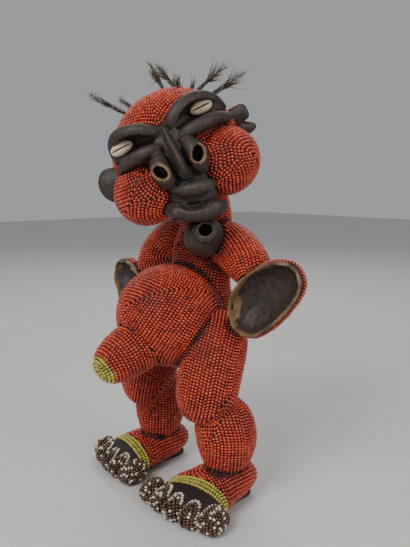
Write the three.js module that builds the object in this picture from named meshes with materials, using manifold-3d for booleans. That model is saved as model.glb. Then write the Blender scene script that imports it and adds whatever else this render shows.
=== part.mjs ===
// Beaded power figure: a standing figure carved in wood, its body covered with rows of glass
// beads, its face, ears and cupped palms left as bare wood.
//
// Millimetres.  +Z is up, the figure faces -Y, and +X is the figure's own left.
//
// Nearly every volume is a LOBE, a closed swelling carried along a bent axis.  With t from 0 to 1
// along the axis C, and an angle a round the section, a point of its surface is
//   C(t) + w(t) * (A(t) cos a * side + B(t) sin a * rise),   w(t) = (1 - |2t - 1|^p)^(1/p)
// so p = 2 on a straight axis is an ellipsoid, and a larger p gives blunter ends.
// The lobes are joined and hollowed with solid booleans.

import * as THREE from 'three';
import Module from 'manifold-3d';

const wasm = await Module();
wasm.setup();

// DRIVING DIMENSIONS

// Moves the figure so that the origin lies on the floor under the middle of its outline.
const PLACE = [-5.1, 10.1, 0];

// Thickness of the bead cover, its height above the floor, and the free space between pieces.
const COVER = 3.2;
const COVER_FOOT = 1.0;
const GAP = 0.3;

// Faceting: length of a facet, and the least number of facets round a section and along an axis.
const COVER_FACETS = { length: 22, around: 10, along: 6 };
const CORE_FACETS = { length: 44, around: 6, along: 4 };
const CARVED_FACETS = { length: 12, around: 6, along: 4 };
const SMALL_FACETS = { length: 6, around: 8, along: 5 };
const TUFT_FACETS = { length: 8, around: 6, along: 5 };

// Ripples in the facets smaller than this are smoothed away.
const TRIM = 0.1;

// The head leans to its own right and looks to its own left.
const HEAD_CENTRE = [8, -6, 315];
const HEAD_YAW = 52;
const HEAD_ROLL = 27;

// One lobe: the points of its axis, the half widths [A, B] along it, the direction of A, and p.
const lobe = (axis, radii, side = [1, 0, 0], p = 2) => ({ axis, radii, side, p });

// Upright ellipsoid about a centre.
const ball = ([x, y, z], [rx, ry, rz], p = 2) =>
  lobe([[x, y, z - rz], [x, y, z + rz]], [[rx, ry]], [1, 0, 0], p);

const mirrored = (spec) => ({
  ...spec,
  axis: spec.axis.map(([x, y, z]) => [-x, y, z]),
  side: [-spec.side[0], spec.side[1], spec.side[2]],
});

// Trunk, under the beads.
const BELLY = ball([0, -5, 167], [51, 51, 48]);
const TRUNK = lobe(
  [[0, 26, 114], [0, 33, 150], [0, 31, 195], [2, 34, 234], [6, 30, 258]],
  [[40, 30], [42, 34], [33, 25], [36, 28], [25, 22]], [1, 0, 0], 2.6);
const NECK = lobe(
  [[4, 34, 222], [8, 31, 255], [10, 18, 285], [8, 0, 310]],
  [[30, 27], [26, 25], [27, 26], [30, 30]], [1, 0, 0], 2.4);
const MEMBER = lobe(
  [[0, -12, 150], [0, -45, 143], [0, -84, 125]],
  [[23, 23], [24, 24], [21, 21]], [1, 0, 0], 2.8);

// Arms, from the shoulder out to the wrist.
const ARM_LEFT = lobe(
  [[10, 36, 232], [38, 34, 233], [68, 29, 219], [92, 24, 203]],
  [[24, 24], [22, 22], [20, 20], [18, 16]], [0, 1, 0], 2.6);
const ARM_RIGHT = lobe(
  [[-6, 36, 234], [-35, 33, 236], [-62, 27, 219], [-80, 19, 190]],
  [[24, 24], [22, 22], [19, 19], [17, 15]], [0, 1, 0], 2.6);

// Flexed legs: the thigh hangs in front of the calf, and the calf bulges behind it.
const THIGH_LEFT = lobe(
  [[42, 26, 174], [47, 5, 126], [51, -11, 77]],
  [[30, 30], [29, 29], [31, 30]], [1, 0, 0], 2.7);
const CALF_LEFT = lobe(
  [[56, 2, 98], [57, 14, 64], [57, 12, 26]],
  [[28, 27], [28, 28], [25, 26]], [1, 0, 0], 2.4);
const FOOT_LEFT = lobe(
  [[56, 47, 18], [56, 25, 20], [55, 3, 17], [54, -17, 13], [53, -43, 9]],
  [[20, 14], [23, 20], [28, 18], [38, 15], [46, 11]], [1, 0, 0], 3);
const THIGH_RIGHT = lobe(
  [[-42, 26, 170], [-49, 8, 120], [-54, -2, 64]],
  [[30, 30], [30, 30], [29, 28]], [1, 0, 0], 2.7);
const CALF_RIGHT = lobe(
  [[-52, 16, 104], [-53, 20, 62], [-54, 18, 22]],
  [[26, 26], [26, 26], [24, 24]], [1, 0, 0], 2.4);
const FOOT_RIGHT = lobe(
  [[-54, 54, 17], [-56, 33, 19], [-57, 9, 16], [-59, -11, 13], [-61, -37, 8]],
  [[20, 14], [24, 19], [28, 17], [36, 14], [44, 11]], [1, 0, 0], 3);

// Toes: where each leaves the foot, where it ends, and its half width.
const TOES_LEFT = [
  [[15, -26], [15, -51], 9.5],
  [[33, -26], [35, -53], 10],
  [[51, -26], [55, -53], 10.5],
  [[69, -24], [75, -50], 10.5],
  [[86, -18], [95, -43], 13],
];
const TOES_RIGHT = [
  [[-27, -20], [-26, -47], 12],
  [[-46, -20], [-46, -47], 10],
  [[-63, -19], [-63, -45], 9.5],
  [[-79, -17], [-80, -41], 9.5],
  [[-93, -12], [-96, -34], 10.5],
];
const TOE_HEIGHT = 10;

// Bare soles of the carved feet, inside the beaded edge.
const SOLES = [
  lobe([[56, 40, 3], [55, 4, 3], [54, -36, 3]], [[13, 6], [18, 6], [38, 6]], [1, 0, 0], 5),
  lobe([[-54, 47, 3], [-57, 10, 3], [-60, -30, 3]], [[13, 6], [18, 6], [36, 6]], [1, 0, 0], 5),
];

// Bands of yellow beads: middle of the band, its depth, and its turn about the upright.
const BAND_LEFT = { at: [52, -19], turn: 8 };
const BAND_RIGHT = { at: [-58, -13], turn: -8 };
const BAND_DEPTH = 9.6;

// Yellow tip of the member: length of the tip along its axis.
const TIP_AXIS_FROM = [0, -45, 143];
const TIP_AXIS_TO = [0, -84, 125];
const TIP_LENGTH = 9;

// Cupped hands, each an axis in the plane of the palm: across it away from the body, and up.
// The palm faces OUT; the hollow of the palm is a smaller copy moved that way.
const HANDS = [
  { centre: [98, 20, 195], out: [0.28, -0.96, 0.04] },
  { centre: [-87, 14, 177], out: [-0.06, -0.99, 0.04] },
];
const PALM_AXIS = [[-22, -34], [-3, -3], [33, 25]];
const PALM_WIDTHS = [22, 26, 23];
const PALM_DEPTH = 17;
const PALM_WALL = 4;
const HOLLOW_SHIFT = 11;
const HOLLOW_DEPTH = 21;

// Bare carving of the head, in the head's own frame: x to its left, -y forward, z up.
const CRANIUM = lobe(
  [[3, 6, -54], [3, 6, 0], [4, 8, 56]],
  [[50, 46], [59, 52], [50, 46]], [1, 0, 0], 2.3);
const CHEEK_LEFT = ball([36.5, -20, -26], [30.5, 32, 30]);
const CHEEK_RIGHT = ball([-36, -20, -20], [29.5, 32, 28.5]);
const ORBIT_LEFT = lobe(
  [[-3, -35, 13], [31, -26, 20], [56, -6, 16]], [[12, 12], [15, 15], [9, 9]], [0, 1, 0], 3);
const ORBIT_RIGHT = lobe(
  [[4, -35, 13], [-29, -26, 20], [-47, -7, 18]], [[12, 12], [15, 15], [9, 9]], [0, 1, 0], 3);
const SOCKET = lobe(
  [[8, -44, 16], [30, -43, 21], [51, -33, 18]],
  [[8, 5.5], [13, 7.2], [8, 5.5]], [0, 1, 0], 2.2);
const BROW_LEFT = lobe(
  [[3, -44, 12], [14, -46, 24], [34, -39, 30], [49, -26, 25], [58, -10, 14]],
  [[5.5, 5], [8, 7.5], [8, 6.5], [6.5, 5], [5, 4]], [0, 1, 0], 2.6);
const BROW_RIGHT = lobe(
  [[-1, -44, 14], [-14, -46, 25], [-31, -39, 31], [-42, -27, 29], [-49, -9, 19]],
  [[5.5, 5], [8, 6.5], [8, 6], [6.5, 5], [5, 4]], [0, 1, 0], 2.6);
const LID_LEFT = lobe(
  [[3, -45, 5], [22, -47, 8.5], [42, -38, 8.5], [59, -14, 5]],
  [[6.4, 5], [8.5, 6.5], [8.5, 6], [6, 5]], [0, 1, 0], 2.6);
const LID_RIGHT = lobe(
  [[-2, -45, 6], [-21, -47, 8.5], [-38, -37, 8], [-50, -13, 4]],
  [[6.4, 5], [8.5, 6.5], [8.5, 6], [6, 5]], [0, 1, 0], 2.6);
const COWRIE = lobe([[27, -35, 22], [47, -31, 22]], [[5.5, 5.2]], [0, 1, 0], 2.2);
const COWRIE_SLIT = lobe([[30, -43, 22], [44, -40, 22]], [[3.7, 0.8]], [0, 1, 0], 2);
const BRIDGE = ball([1, -42, 8], [18, 8, 14]);
const NOSE_RIDGE = lobe(
  [[1, -44, 21], [1, -54, 8], [1, -60, -8], [1, -58, -24]],
  [[2.8, 4.6], [3.2, 8.3], [3.4, 10], [3.8, 7]], [1, 0, 0], 3);
const NOSE_BODY = lobe(
  [[1, -34, 24], [1, -42, 4], [1, -44, -30]],
  [[7, 7], [9, 10], [13, 11]], [1, 0, 0], 2.4);
const NOSTRIL = lobe(
  [[10.5, -46, 5], [15.5, -52, -10], [13, -48, -27]],
  [[7, 7.4], [9.6, 12], [8, 9.2]], [1, 0, 0], 2.2);
const NOSTRIL_HOLE = lobe([[15, -42, -10], [18, -72, -12]], [[4.6, 6.4]], [1, 0, 0], 2.6);
const MUZZLE = lobe(
  [[1, -28, -7], [-1, -34, -30], [-4, -34, -60]],
  [[19, 14.7], [21.5, 14.7], [21, 13.8]], [1, 0, 0], 2.6);
const UPPER_LIP = lobe(
  [[-18, -44, -26], [-7, -51, -32], [3, -53, -35], [12, -50, -37], [20, -42, -38]],
  [[5.5, 4.1], [7.4, 6], [7.8, 6.4], [7.4, 6], [5.5, 4.1]], [0, 1, 0], 2.4);
const JAW = lobe(
  [[-28, -34, -38], [-18, -44, -46], [-5, -49, -53], [8, -46, -57], [20, -36, -59]],
  [[8.3, 7.4], [10.1, 8.3], [11, 8.3], [10.1, 8.3], [8.3, 7.4]], [0, 1, 0], 2.8);
const JAW_KNOBS = [ball([-20, -51, -46], [5.5, 5, 5]), ball([11, -52, -56], [5.5, 5, 5])];
const MOUTH = lobe(
  [[-17, -56, -37], [-9, -57, -45], [2, -58, -48], [13, -54, -45]],
  [[7.4, 2.8], [12, 4], [12, 4], [7.4, 2.8]], [0, 1, 0], 2.4);
const EARS = [
  lobe([[48, 4, 3.5], [62, 1, 4.5], [75, -3, 4.5]], [[6, 9], [5, 8], [5, 8]], [0, 1, 0], 4),
  lobe([[46, 8, -5], [63, 4, -8], [76.5, 0, -11]], [[6, 9], [5, 7], [4, 4]], [0, 1, 0], 3),
  lobe([[-52, 4, -15], [-58, 1, 0], [-52, 4, 13]], [[14, 6], [16, 7], [14, 6]], [1, 0, 0], 2.6),
];
const EAR_HOLLOWS = [lobe([[-68, -8, -9], [-68, -8, 7]], [[3.6, 4.5]], [1, 0, 0], 2)];

// Pierced knob under the chin, in the world frame.
const CHIN = lobe(
  [[17, 24, 240], [36, 5, 242], [53, -13, 244]],
  [[18, 18], [18, 18], [14, 14]], [0, 0, 1], 2.6);
const CHIN_RING = lobe([[44, 1, 246], [60, -13, 250]], [[11, 11]], [0, 0, 1], 4);
const CHIN_HOLE = lobe([[44, 1, 247], [70, -22, 253]], [[5.6, 5.6]], [0, 0, 1], 5);

// Tufts of stiff plant fibre: root, tip, and half thickness at root and tip.
const TUFTS = [
  [[-13, -30, 344], [-35, -66, 365], 1.6, 1.4],
  [[1, -6, 362], [-12, -17, 393], 1.8, 4.2],
  [[4, 6, 366], [-16, -7, 395], 1.8, 2.6],
  [[13, -6, 366], [16, -8, 382], 3.6, 3.2],
  [[15, 7, 362], [16, 10, 379], 1.8, 1.6],
  [[19, 0, 360], [47, 20, 389], 1.8, 3.2],
  [[22, 12, 358], [45, 44, 385], 1.8, 2.6],
  [[-19, -26, 352], [-34, -36, 364], 1.6, 1.6],
];

// SURFACES

const curveThrough = (points) => points.length === 2
  ? new THREE.LineCurve3(points[0], points[1])
  : new THREE.CatmullRomCurve3(points, false, 'catmullrom');

const vec = (p) => new THREE.Vector3(p[0], p[1], p[2] ?? 0);

// Carries the head's own frame into the world's.
const yaw = THREE.MathUtils.degToRad(HEAD_YAW);
const roll = THREE.MathUtils.degToRad(HEAD_ROLL);
const headLeft = new THREE.Vector3(
  Math.cos(yaw) * Math.cos(roll), Math.sin(yaw) * Math.cos(roll), Math.sin(roll));
const headBack = new THREE.Vector3(-Math.sin(yaw), Math.cos(yaw), 0);
const headUp = headLeft.clone().cross(headBack);
const turnHead = ([x, y, z]) => new THREE.Vector3()
  .addScaledVector(headLeft, x).addScaledVector(headBack, y).addScaledVector(headUp, z);
const onHead = (spec) => ({
  ...spec,
  axis: spec.axis.map((p) => turnHead(p).add(vec(HEAD_CENTRE)).toArray()),
  side: turnHead(spec.side).toArray(),
});

// One closed solid from a ring-by-ring grid with a pole at each end.
function closedRings(poleA, rings, poleB) {
  const around = rings[0].length;
  const points = [poleA, ...rings.flat(), poleB];
  const triangles = [];
  const at = (ring, k) => 1 + ring * around + (k % around);
  for (let k = 0; k < around; k += 1) {
    triangles.push(0, at(0, k + 1), at(0, k));
    for (let r = 0; r + 1 < rings.length; r += 1) {
      triangles.push(at(r, k), at(r, k + 1), at(r + 1, k + 1));
      triangles.push(at(r, k), at(r + 1, k + 1), at(r + 1, k));
    }
    triangles.push(points.length - 1, at(rings.length - 1, k), at(rings.length - 1, k + 1));
  }
  const mesh = new wasm.Mesh({
    numProp: 3,
    vertProperties: Float32Array.from(points.flatMap((p) => p.toArray())),
    triVerts: Uint32Array.from(triangles),
  });
  return new wasm.Manifold(mesh);
}

// The solid of a lobe, its surface pushed out by grow (or in, when negative).
function solid(spec, facets, grow = 0) {
  const curve = curveThrough(spec.axis.map(vec));
  const widths = spec.radii.length === 1 ? [spec.radii[0], spec.radii[0]] : spec.radii;
  const width = curveThrough(widths.map(vec));
  const widest = Math.max(...widths.flat());
  const along = Math.max(facets.along, Math.round((curve.getLength() + widest * 0.9) / facets.length));
  const around = Math.max(facets.around, 2 * Math.round((Math.PI * widest) / facets.length));
  const side = vec(spec.side).normalize();
  const place = (s) => {
    const t = (1 + s) / 2;
    const tangent = curve.getTangent(t);
    return { centre: curve.getPoint(t).addScaledVector(tangent, grow * s), tangent };
  };
  const rings = [];
  for (let i = 1; i < along; i += 1) {
    const s = -Math.cos((Math.PI * i) / along);
    const { centre, tangent } = place(s);
    const rise = tangent.clone().cross(side).normalize();
    const flat = rise.clone().cross(tangent);
    const half = width.getPoint((1 + s) / 2);
    const w = (1 - Math.abs(s) ** spec.p) ** (1 / spec.p);
    const ring = [];
    for (let k = 0; k < around; k += 1) {
      const a = (2 * Math.PI * k) / around;
      ring.push(centre.clone()
        .addScaledVector(flat, w * (half.x + grow) * Math.cos(a))
        .addScaledVector(rise, w * (half.y + grow) * Math.sin(a)));
    }
    rings.push(ring);
  }
  return closedRings(place(-1).centre, rings, place(1).centre);
}

const join = (solids) => wasm.Manifold.union(solids);
const box = (min, max) => {
  const size = max.map((v, i) => v - min[i]);
  return wasm.Manifold.cube(size).translate(min);
};
const largest = (body) => body.decompose().sort((a, b) => b.volume() - a.volume())[0];

// ASSEMBLY

const bothSides = (spec) => [spec, mirrored(spec)];

// A hand, or the hollow of its palm: a flattened lobe in the plane of the palm.
function handLobe({ centre, out }, wall, depth, shift) {
  const facing = vec(out).normalize();
  const across = new THREE.Vector3(-facing.y, facing.x, 0).normalize();
  if (centre[0] < 0) across.negate();
  const up = facing.clone().cross(across).normalize();
  if (up.z < 0) up.negate();
  const axis = PALM_AXIS.map(([w, h], i) => {
    const pull = 1 - (wall * Math.abs(i - 1)) / Math.hypot(w, h);
    return vec(centre).addScaledVector(facing, shift)
      .addScaledVector(across, w * pull).addScaledVector(up, h * pull).toArray();
  });
  return lobe(axis, PALM_WIDTHS.map((half) => [depth, half - wall]), facing.toArray(), 2.5);
}
const HAND_LOBES = HANDS.map((hand) => handLobe(hand, 0, PALM_DEPTH, 0));
const PALMS = HANDS.map((hand) => handLobe(hand, PALM_WALL, HOLLOW_DEPTH, HOLLOW_SHIFT));

const toeLobe = ([root, end, half]) => lobe(
  [[...root, TOE_HEIGHT + 1], [...end, TOE_HEIGHT - 3]],
  [[half, TOE_HEIGHT + 2], [half, TOE_HEIGHT]], [1, 0, 0], 3.6);

const UNDER_BEADS = [
  BELLY, TRUNK, NECK, MEMBER, ARM_LEFT, ARM_RIGHT,
  THIGH_LEFT, CALF_LEFT, FOOT_LEFT, THIGH_RIGHT, CALF_RIGHT, FOOT_RIGHT,
  ...HAND_LOBES,
  ...[CRANIUM, CHEEK_LEFT, CHEEK_RIGHT].map(onHead),
];
// The toes are built up in beads on the rounded front of the carved foot.
const BEADED = [...UNDER_BEADS, ...TOES_LEFT.map(toeLobe), ...TOES_RIGHT.map(toeLobe)];
const CARVED = [
  ...[
    ORBIT_LEFT, ORBIT_RIGHT, BROW_LEFT, BROW_RIGHT, LID_LEFT, LID_RIGHT, ...bothSides(NOSTRIL),
    BRIDGE, NOSE_BODY, NOSE_RIDGE, MUZZLE, UPPER_LIP, JAW, ...JAW_KNOBS, ...EARS,
  ].map(onHead),
  CHIN, CHIN_RING,
];
const HOLLOWED = [
  ...[...[SOCKET, NOSTRIL_HOLE].flatMap(bothSides), MOUTH, ...EAR_HOLLOWS].map(onHead),
  CHIN_HOLE,
];
const COWRIES = { left: onHead(COWRIE), right: onHead(mirrored(COWRIE)) };
const SLITS = { left: onHead(COWRIE_SLIT), right: onHead(mirrored(COWRIE_SLIT)) };

const tuftLobe = ([root, tip, thin, thick]) => {
  const middle = root.map((v, i) => (v + tip[i]) / 2 + (i === 2 ? 1.5 : 0));
  return lobe([root, middle, tip], [[thin, thin], [thin, thin], [thick, thick]], [1, 0, 0], 4);
};
const tufts = TUFTS.map((row) => solid(tuftLobe(row), TUFT_FACETS));
const tuftHoles = join(TUFTS.map((row) => solid(tuftLobe(row), TUFT_FACETS, GAP)));

const solids = (specs, facets, grow = 0) => join(specs.map((spec) => solid(spec, facets, grow)));
const everything = [[-400, -400], [400, 400]];
const above = (z) => box([...everything[0], z], [...everything[1], 600]);

const hollows = solids(HOLLOWED, CARVED_FACETS);
const palms = solids(PALMS, CARVED_FACETS);

// Wood: what lies under the beads, together with the bare carving.
const wood = solids(UNDER_BEADS, CORE_FACETS, -COVER - GAP)
  .add(solids([...CARVED, ...SOLES], CARVED_FACETS))
  .subtract(hollows)
  .subtract(palms)
  .subtract(solids(Object.values(COWRIES), SMALL_FACETS, GAP))
  .subtract(tuftHoles)
  .intersect(above(0))
  .simplify(TRIM);

// Bead cover: a skin over the wood, open where the carving is bare and under the soles.
const cover = solids(BEADED, COVER_FACETS)
  .subtract(solids(UNDER_BEADS, CORE_FACETS, -COVER))
  .subtract(solids([...CARVED, ...SOLES], CARVED_FACETS, GAP))
  .subtract(hollows)
  .subtract(palms)
  .subtract(tuftHoles)
  .intersect(above(COVER_FOOT))
  .simplify(TRIM);

// Slab of one foot, between two distances in front of the middle of its yellow band.
const footSlab = ({ at, turn }, back, front) =>
  box([-70, -front, -5], [62, -back, 48]).rotate([0, 0, turn]).translate([...at, 0]);
const half = BAND_DEPTH / 2;
const bands = { left: BAND_LEFT, right: BAND_RIGHT };
const bandSlab = (foot) => footSlab(foot, -half, half);
const toeSlab = (foot) => footSlab(foot, half + GAP, 70);
const frontSlab = (foot) => footSlab(foot, -half - GAP, 70);

// The yellow tip lies beyond a plane square to the end of the member.
const tipRun = vec(TIP_AXIS_TO).sub(vec(TIP_AXIS_FROM)).normalize();
const tipStart = vec(TIP_AXIS_TO).addScaledVector(tipRun, -TIP_LENGTH);
const tipPitch = THREE.MathUtils.radToDeg(Math.asin(tipRun.z));
const beyond = (distance) => box([-40, -40, -40], [40, 0, 40])
  .rotate([-tipPitch, 0, 0])
  .translate(tipStart.clone().addScaledVector(tipRun, distance).toArray());

const redCover = cover
  .subtract(frontSlab(bands.left))
  .subtract(frontSlab(bands.right))
  .subtract(beyond(-GAP));

const pieces = [
  ['carved_figure', wood, 0x4a3d33],
  ['red_bead_cover', redCover, 0xb4402a],
  ['yellow_bead_tip', cover.intersect(beyond(0)), 0xb39c34],
  ['yellow_bead_band_left', cover.intersect(bandSlab(bands.left)), 0xb39c34],
  ['yellow_bead_band_right', cover.intersect(bandSlab(bands.right)), 0xb39c34],
  ['toe_bead_cover_left', cover.intersect(toeSlab(bands.left)), 0xc9b9a2],
  ['toe_bead_cover_right', cover.intersect(toeSlab(bands.right)), 0xc9b9a2],
  ...Object.keys(COWRIES).map((name) => [
    `cowrie_eye_${name}`,
    solid(COWRIES[name], SMALL_FACETS).subtract(solid(SLITS[name], CARVED_FACETS)),
    0xe3cba6,
  ]),
  ...tufts.map((tuft, i) => [`fibre_tuft_${i + 1}`, tuft, 0x6d5238]),
];

// A named mesh from a solid, moved over the origin.
function mesh(name, body, colour) {
  const { numProp, vertProperties, triVerts } = largest(body).translate(PLACE).getMesh();
  const position = new Float32Array((vertProperties.length / numProp) * 3);
  for (let i = 0; i < position.length / 3; i += 1) {
    position.set(vertProperties.subarray(i * numProp, i * numProp + 3), i * 3);
  }
  const geometry = new THREE.BufferGeometry();
  geometry.setAttribute('position', new THREE.BufferAttribute(position, 3));
  geometry.setIndex(new THREE.BufferAttribute(Uint32Array.from(triVerts), 1));
  geometry.computeVertexNormals();
  const material = new THREE.MeshStandardMaterial({ color: colour, roughness: 0.6 });
  const piece = new THREE.Mesh(geometry, material);
  piece.name = name;
  return piece;
}

const figure = new THREE.Group();
figure.name = 'power_figure';
pieces.forEach(([name, body, colour]) => figure.add(mesh(name, body, colour)));

export default figure;
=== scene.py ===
"""Beaded power figure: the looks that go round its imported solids.

A standing figure is carved in wood and covered with rows of small glass beads.  Its face, ears,
chin knob and palms stay bare wood, its eyes are cowrie shells, and tufts of stiff fibre stand on
its crown.

All lengths in the tables are millimetres in the frame of the part: +Z up, the figure faces -Y,
and +X is its own left.  Meshes are made in metres.
"""

import functools
import math

import bpy
import numpy as np
from bpy.props import FloatProperty, FloatVectorProperty, IntProperty, PointerProperty
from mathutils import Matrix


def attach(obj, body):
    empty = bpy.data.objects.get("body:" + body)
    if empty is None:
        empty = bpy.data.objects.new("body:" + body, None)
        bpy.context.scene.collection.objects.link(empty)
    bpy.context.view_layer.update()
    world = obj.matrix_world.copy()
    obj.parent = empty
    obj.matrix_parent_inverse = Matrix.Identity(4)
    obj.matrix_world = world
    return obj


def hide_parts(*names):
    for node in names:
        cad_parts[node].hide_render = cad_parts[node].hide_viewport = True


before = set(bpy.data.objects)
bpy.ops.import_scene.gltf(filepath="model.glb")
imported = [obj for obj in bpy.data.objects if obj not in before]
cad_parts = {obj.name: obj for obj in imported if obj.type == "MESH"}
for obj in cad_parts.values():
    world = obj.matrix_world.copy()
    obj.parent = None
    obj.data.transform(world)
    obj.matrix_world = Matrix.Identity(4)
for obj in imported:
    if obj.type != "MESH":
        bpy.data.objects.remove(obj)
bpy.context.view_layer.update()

bl_info = {
    "name": "Beaded power figure",
    "version": (1, 0, 0),
    "blender": (4, 5, 0),
    "location": "3D View > Sidebar > Figure",
    "description": "Carved wood, rows of glass beads, cowrie eyes and fibre tufts of a power figure",
    "category": "Add Mesh",
}

MM = 0.001
SEED = 20417
PLACE = np.array([-5.1, 10.1, 0.0])

# ---- forms of the figure ----

HEAD_CENTRE = np.array([8.0, -6.0, 315.0])
HEAD_YAW = math.radians(52)
HEAD_ROLL = math.radians(27)
HEAD_LEFT = np.array([
    math.cos(HEAD_YAW) * math.cos(HEAD_ROLL),
    math.sin(HEAD_YAW) * math.cos(HEAD_ROLL),
    math.sin(HEAD_ROLL),
])
HEAD_BACK = np.array([-math.sin(HEAD_YAW), math.cos(HEAD_YAW), 0.0])
HEAD_UP = np.cross(HEAD_LEFT, HEAD_BACK)
HEAD_TURN = np.array([HEAD_LEFT, HEAD_BACK, HEAD_UP])


def smooth_curve(points, t):
    """Points of a curve through the given points, at each t from 0 to 1.

    Between points i and i+1 it is the Catmull-Rom cubic, which leaves each point along the line
    that joins its two neighbours.  Two points give a straight line.
    """
    points = np.asarray(points, float)
    count = len(points)
    t = np.clip(np.asarray(t, float), 0, 1)
    if count == 1:
        return np.repeat(points, len(t), axis=0)
    if count == 2:
        return points[0] + (points[1] - points[0]) * t[:, None]
    before = 2 * points[0] - points[1]
    after = 2 * points[-1] - points[-2]
    knots = np.vstack([before, points, after])
    step = np.minimum((t * (count - 1)).astype(int), count - 2)
    u = (t * (count - 1) - step)[:, None]
    p0, p1, p2, p3 = (knots[step + i] for i in range(4))
    return 0.5 * (
        2 * p1 + (p2 - p0) * u
        + (2 * p0 - 5 * p1 + 4 * p2 - p3) * u ** 2
        + (3 * p1 - p0 - 3 * p2 + p3) * u ** 3
    )


def unit(vectors):
    """Each row scaled to length one."""
    vectors = np.asarray(vectors, float)
    return vectors / np.maximum(np.linalg.norm(vectors, axis=-1, keepdims=True), 1e-9)


class Lobe:
    """A closed swelling carried along a bent axis.

    With s from -1 to 1 along the axis and q the distance from it in units of the half widths,
    the surface is where |s|^p + q^p = 1.  reach() gives about how far outside it a point is.
    """

    def __init__(self, axis, radii, side=(1, 0, 0), p=2.0, head=False):
        axis = np.asarray(axis, float)
        side = np.asarray(side, float)
        if head:
            axis = axis @ HEAD_TURN + HEAD_CENTRE
            side = side @ HEAD_TURN
        self.p = p
        self.parts = 1 if len(axis) == 2 else 5 * (len(axis) - 1)
        t = np.linspace(0, 1, self.parts + 1)
        self.centre = smooth_curve(axis, t) + PLACE
        self.half = smooth_curve(radii, t)
        self.along = unit(np.gradient(self.centre, axis=0))
        self.rise = unit(np.cross(self.along, side))
        self.side = np.cross(self.rise, self.along)
        self.length = np.linalg.norm(np.diff(self.centre, axis=0), axis=1).sum()
        pad = self.half.max()
        self.low = self.centre.min(axis=0) - pad
        self.high = self.centre.max(axis=0) + pad

    def locate(self, points):
        """Nearest place on the axis as t, and the offset from it across the axis."""
        best = np.full(len(points), np.inf)
        place = np.zeros(len(points))
        for k in range(self.parts):
            start = self.centre[k]
            run = self.centre[k + 1] - start
            u = (points - start) @ run / (run @ run)
            inner = np.clip(u, 0, 1)
            gap = points - start - inner[:, None] * run
            far = np.einsum("ij,ij->i", gap, gap)
            near = far < best
            best[near] = far[near]
            if k == 0:
                inner = np.where(u < 0, u, inner)
            if k == self.parts - 1:
                inner = np.where(u > 1, u, inner)
            place[near] = (k + inner[near]) / self.parts
        return place

    def reach(self, points, grow=0.0):
        """Approximate signed distance of points from the surface, pushed out by grow."""
        t = self.locate(points)
        slot = np.clip(t * self.parts, 0, self.parts)
        k = np.minimum(slot.astype(int), self.parts - 1)
        u = (slot - k)[:, None]
        beyond = ((t - np.clip(t, 0, 1)) * self.length)[:, None]

        def mixed(table):
            return table[k] * (1 - u) + table[k + 1] * u

        along = mixed(self.along)
        offset = points - mixed(self.centre) - along * beyond
        half = np.maximum(mixed(self.half) + grow, 0.5)
        a = np.einsum("ij,ij->i", offset, mixed(self.side)) / half[:, 0]
        b = np.einsum("ij,ij->i", offset, mixed(self.rise)) / half[:, 1]
        q = np.sqrt(a * a + b * b) + 1e-9
        stretch = self.length / 2 / (self.length / 2 + grow)
        s = np.abs(2 * t - 1) * stretch + 1e-9
        p = self.p
        size = (s ** p + q ** p) ** (1 / p)
        across = np.sqrt((a / half[:, 0]) ** 2 + (b / half[:, 1]) ** 2) / q
        slope_q = (q / size) ** (p - 1) * across
        slope_s = (s / size) ** (p - 1) * 2 / (self.length + 2 * grow)
        return (size - 1) / np.sqrt(slope_q ** 2 + slope_s ** 2)


def ball(centre, radii, p=2.0, head=False):
    """Upright ellipsoid as a lobe."""
    x, y, z = centre
    return Lobe([[x, y, z - radii[2]], [x, y, z + radii[2]]], [[radii[0], radii[1]]], p=p, head=head)


def head_lobe(axis, radii, side=(0, 1, 0), p=2.4):
    return Lobe(axis, radii, side, p, head=True)


def both_sides(axis, radii, side=(0, 1, 0), p=2.4):
    """A lobe of the head and its mirror image."""
    other = [[-x, y, z] for x, y, z in axis]
    return [head_lobe(axis, radii, side, p), head_lobe(other, radii, (-side[0], side[1], side[2]), p)]


ACROSS = (1, 0, 0)
DEEP = (0, 1, 0)
UPRIGHT = (0, 0, 1)

TOES = {
    "left": [
        ([15, -26], [15, -51], 9.5),
        ([33, -26], [35, -53], 10),
        ([51, -26], [55, -53], 10.5),
        ([69, -24], [75, -50], 10.5),
        ([86, -18], [95, -43], 13),
    ],
    "right": [
        ([-27, -20], [-26, -47], 12),
        ([-46, -20], [-46, -47], 10),
        ([-63, -19], [-63, -45], 9.5),
        ([-79, -17], [-80, -41], 9.5),
        ([-93, -12], [-96, -34], 10.5),
    ],
}
TOE_HEIGHT = 10.0


def toe_lobe(root, end, half):
    return Lobe(
        [[*root, TOE_HEIGHT + 1], [*end, TOE_HEIGHT - 3]],
        [[half, TOE_HEIGHT + 2], [half, TOE_HEIGHT]], ACROSS, 3.6)


HANDS = {
    "left": ([98, 20, 195], [0.28, -0.96, 0.04]),
    "right": ([-87, 14, 177], [-0.06, -0.99, 0.04]),
}
PALM_AXIS = ((-22, -34), (-3, -3), (33, 25))
PALM_WIDTHS = (22, 26, 23)


def hand_lobe(side, wall, depth, shift):
    """A hand (wall 0) or the hollow of its palm: a flattened lobe in the plane of the palm."""
    centre, out = HANDS[side]
    facing = unit(out)
    across = unit([-facing[1], facing[0], 0])
    if centre[0] < 0:
        across = -across
    up = unit(np.cross(facing, across))
    if up[2] < 0:
        up = -up
    axis = []
    for i, (w, h) in enumerate(PALM_AXIS):
        pull = 1 - wall * abs(i - 1) / math.hypot(w, h)
        axis.append(np.asarray(centre) + facing * shift + across * w * pull + up * h * pull)
    return Lobe(axis, [[depth, half - wall] for half in PALM_WIDTHS], facing, 2.5)


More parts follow.
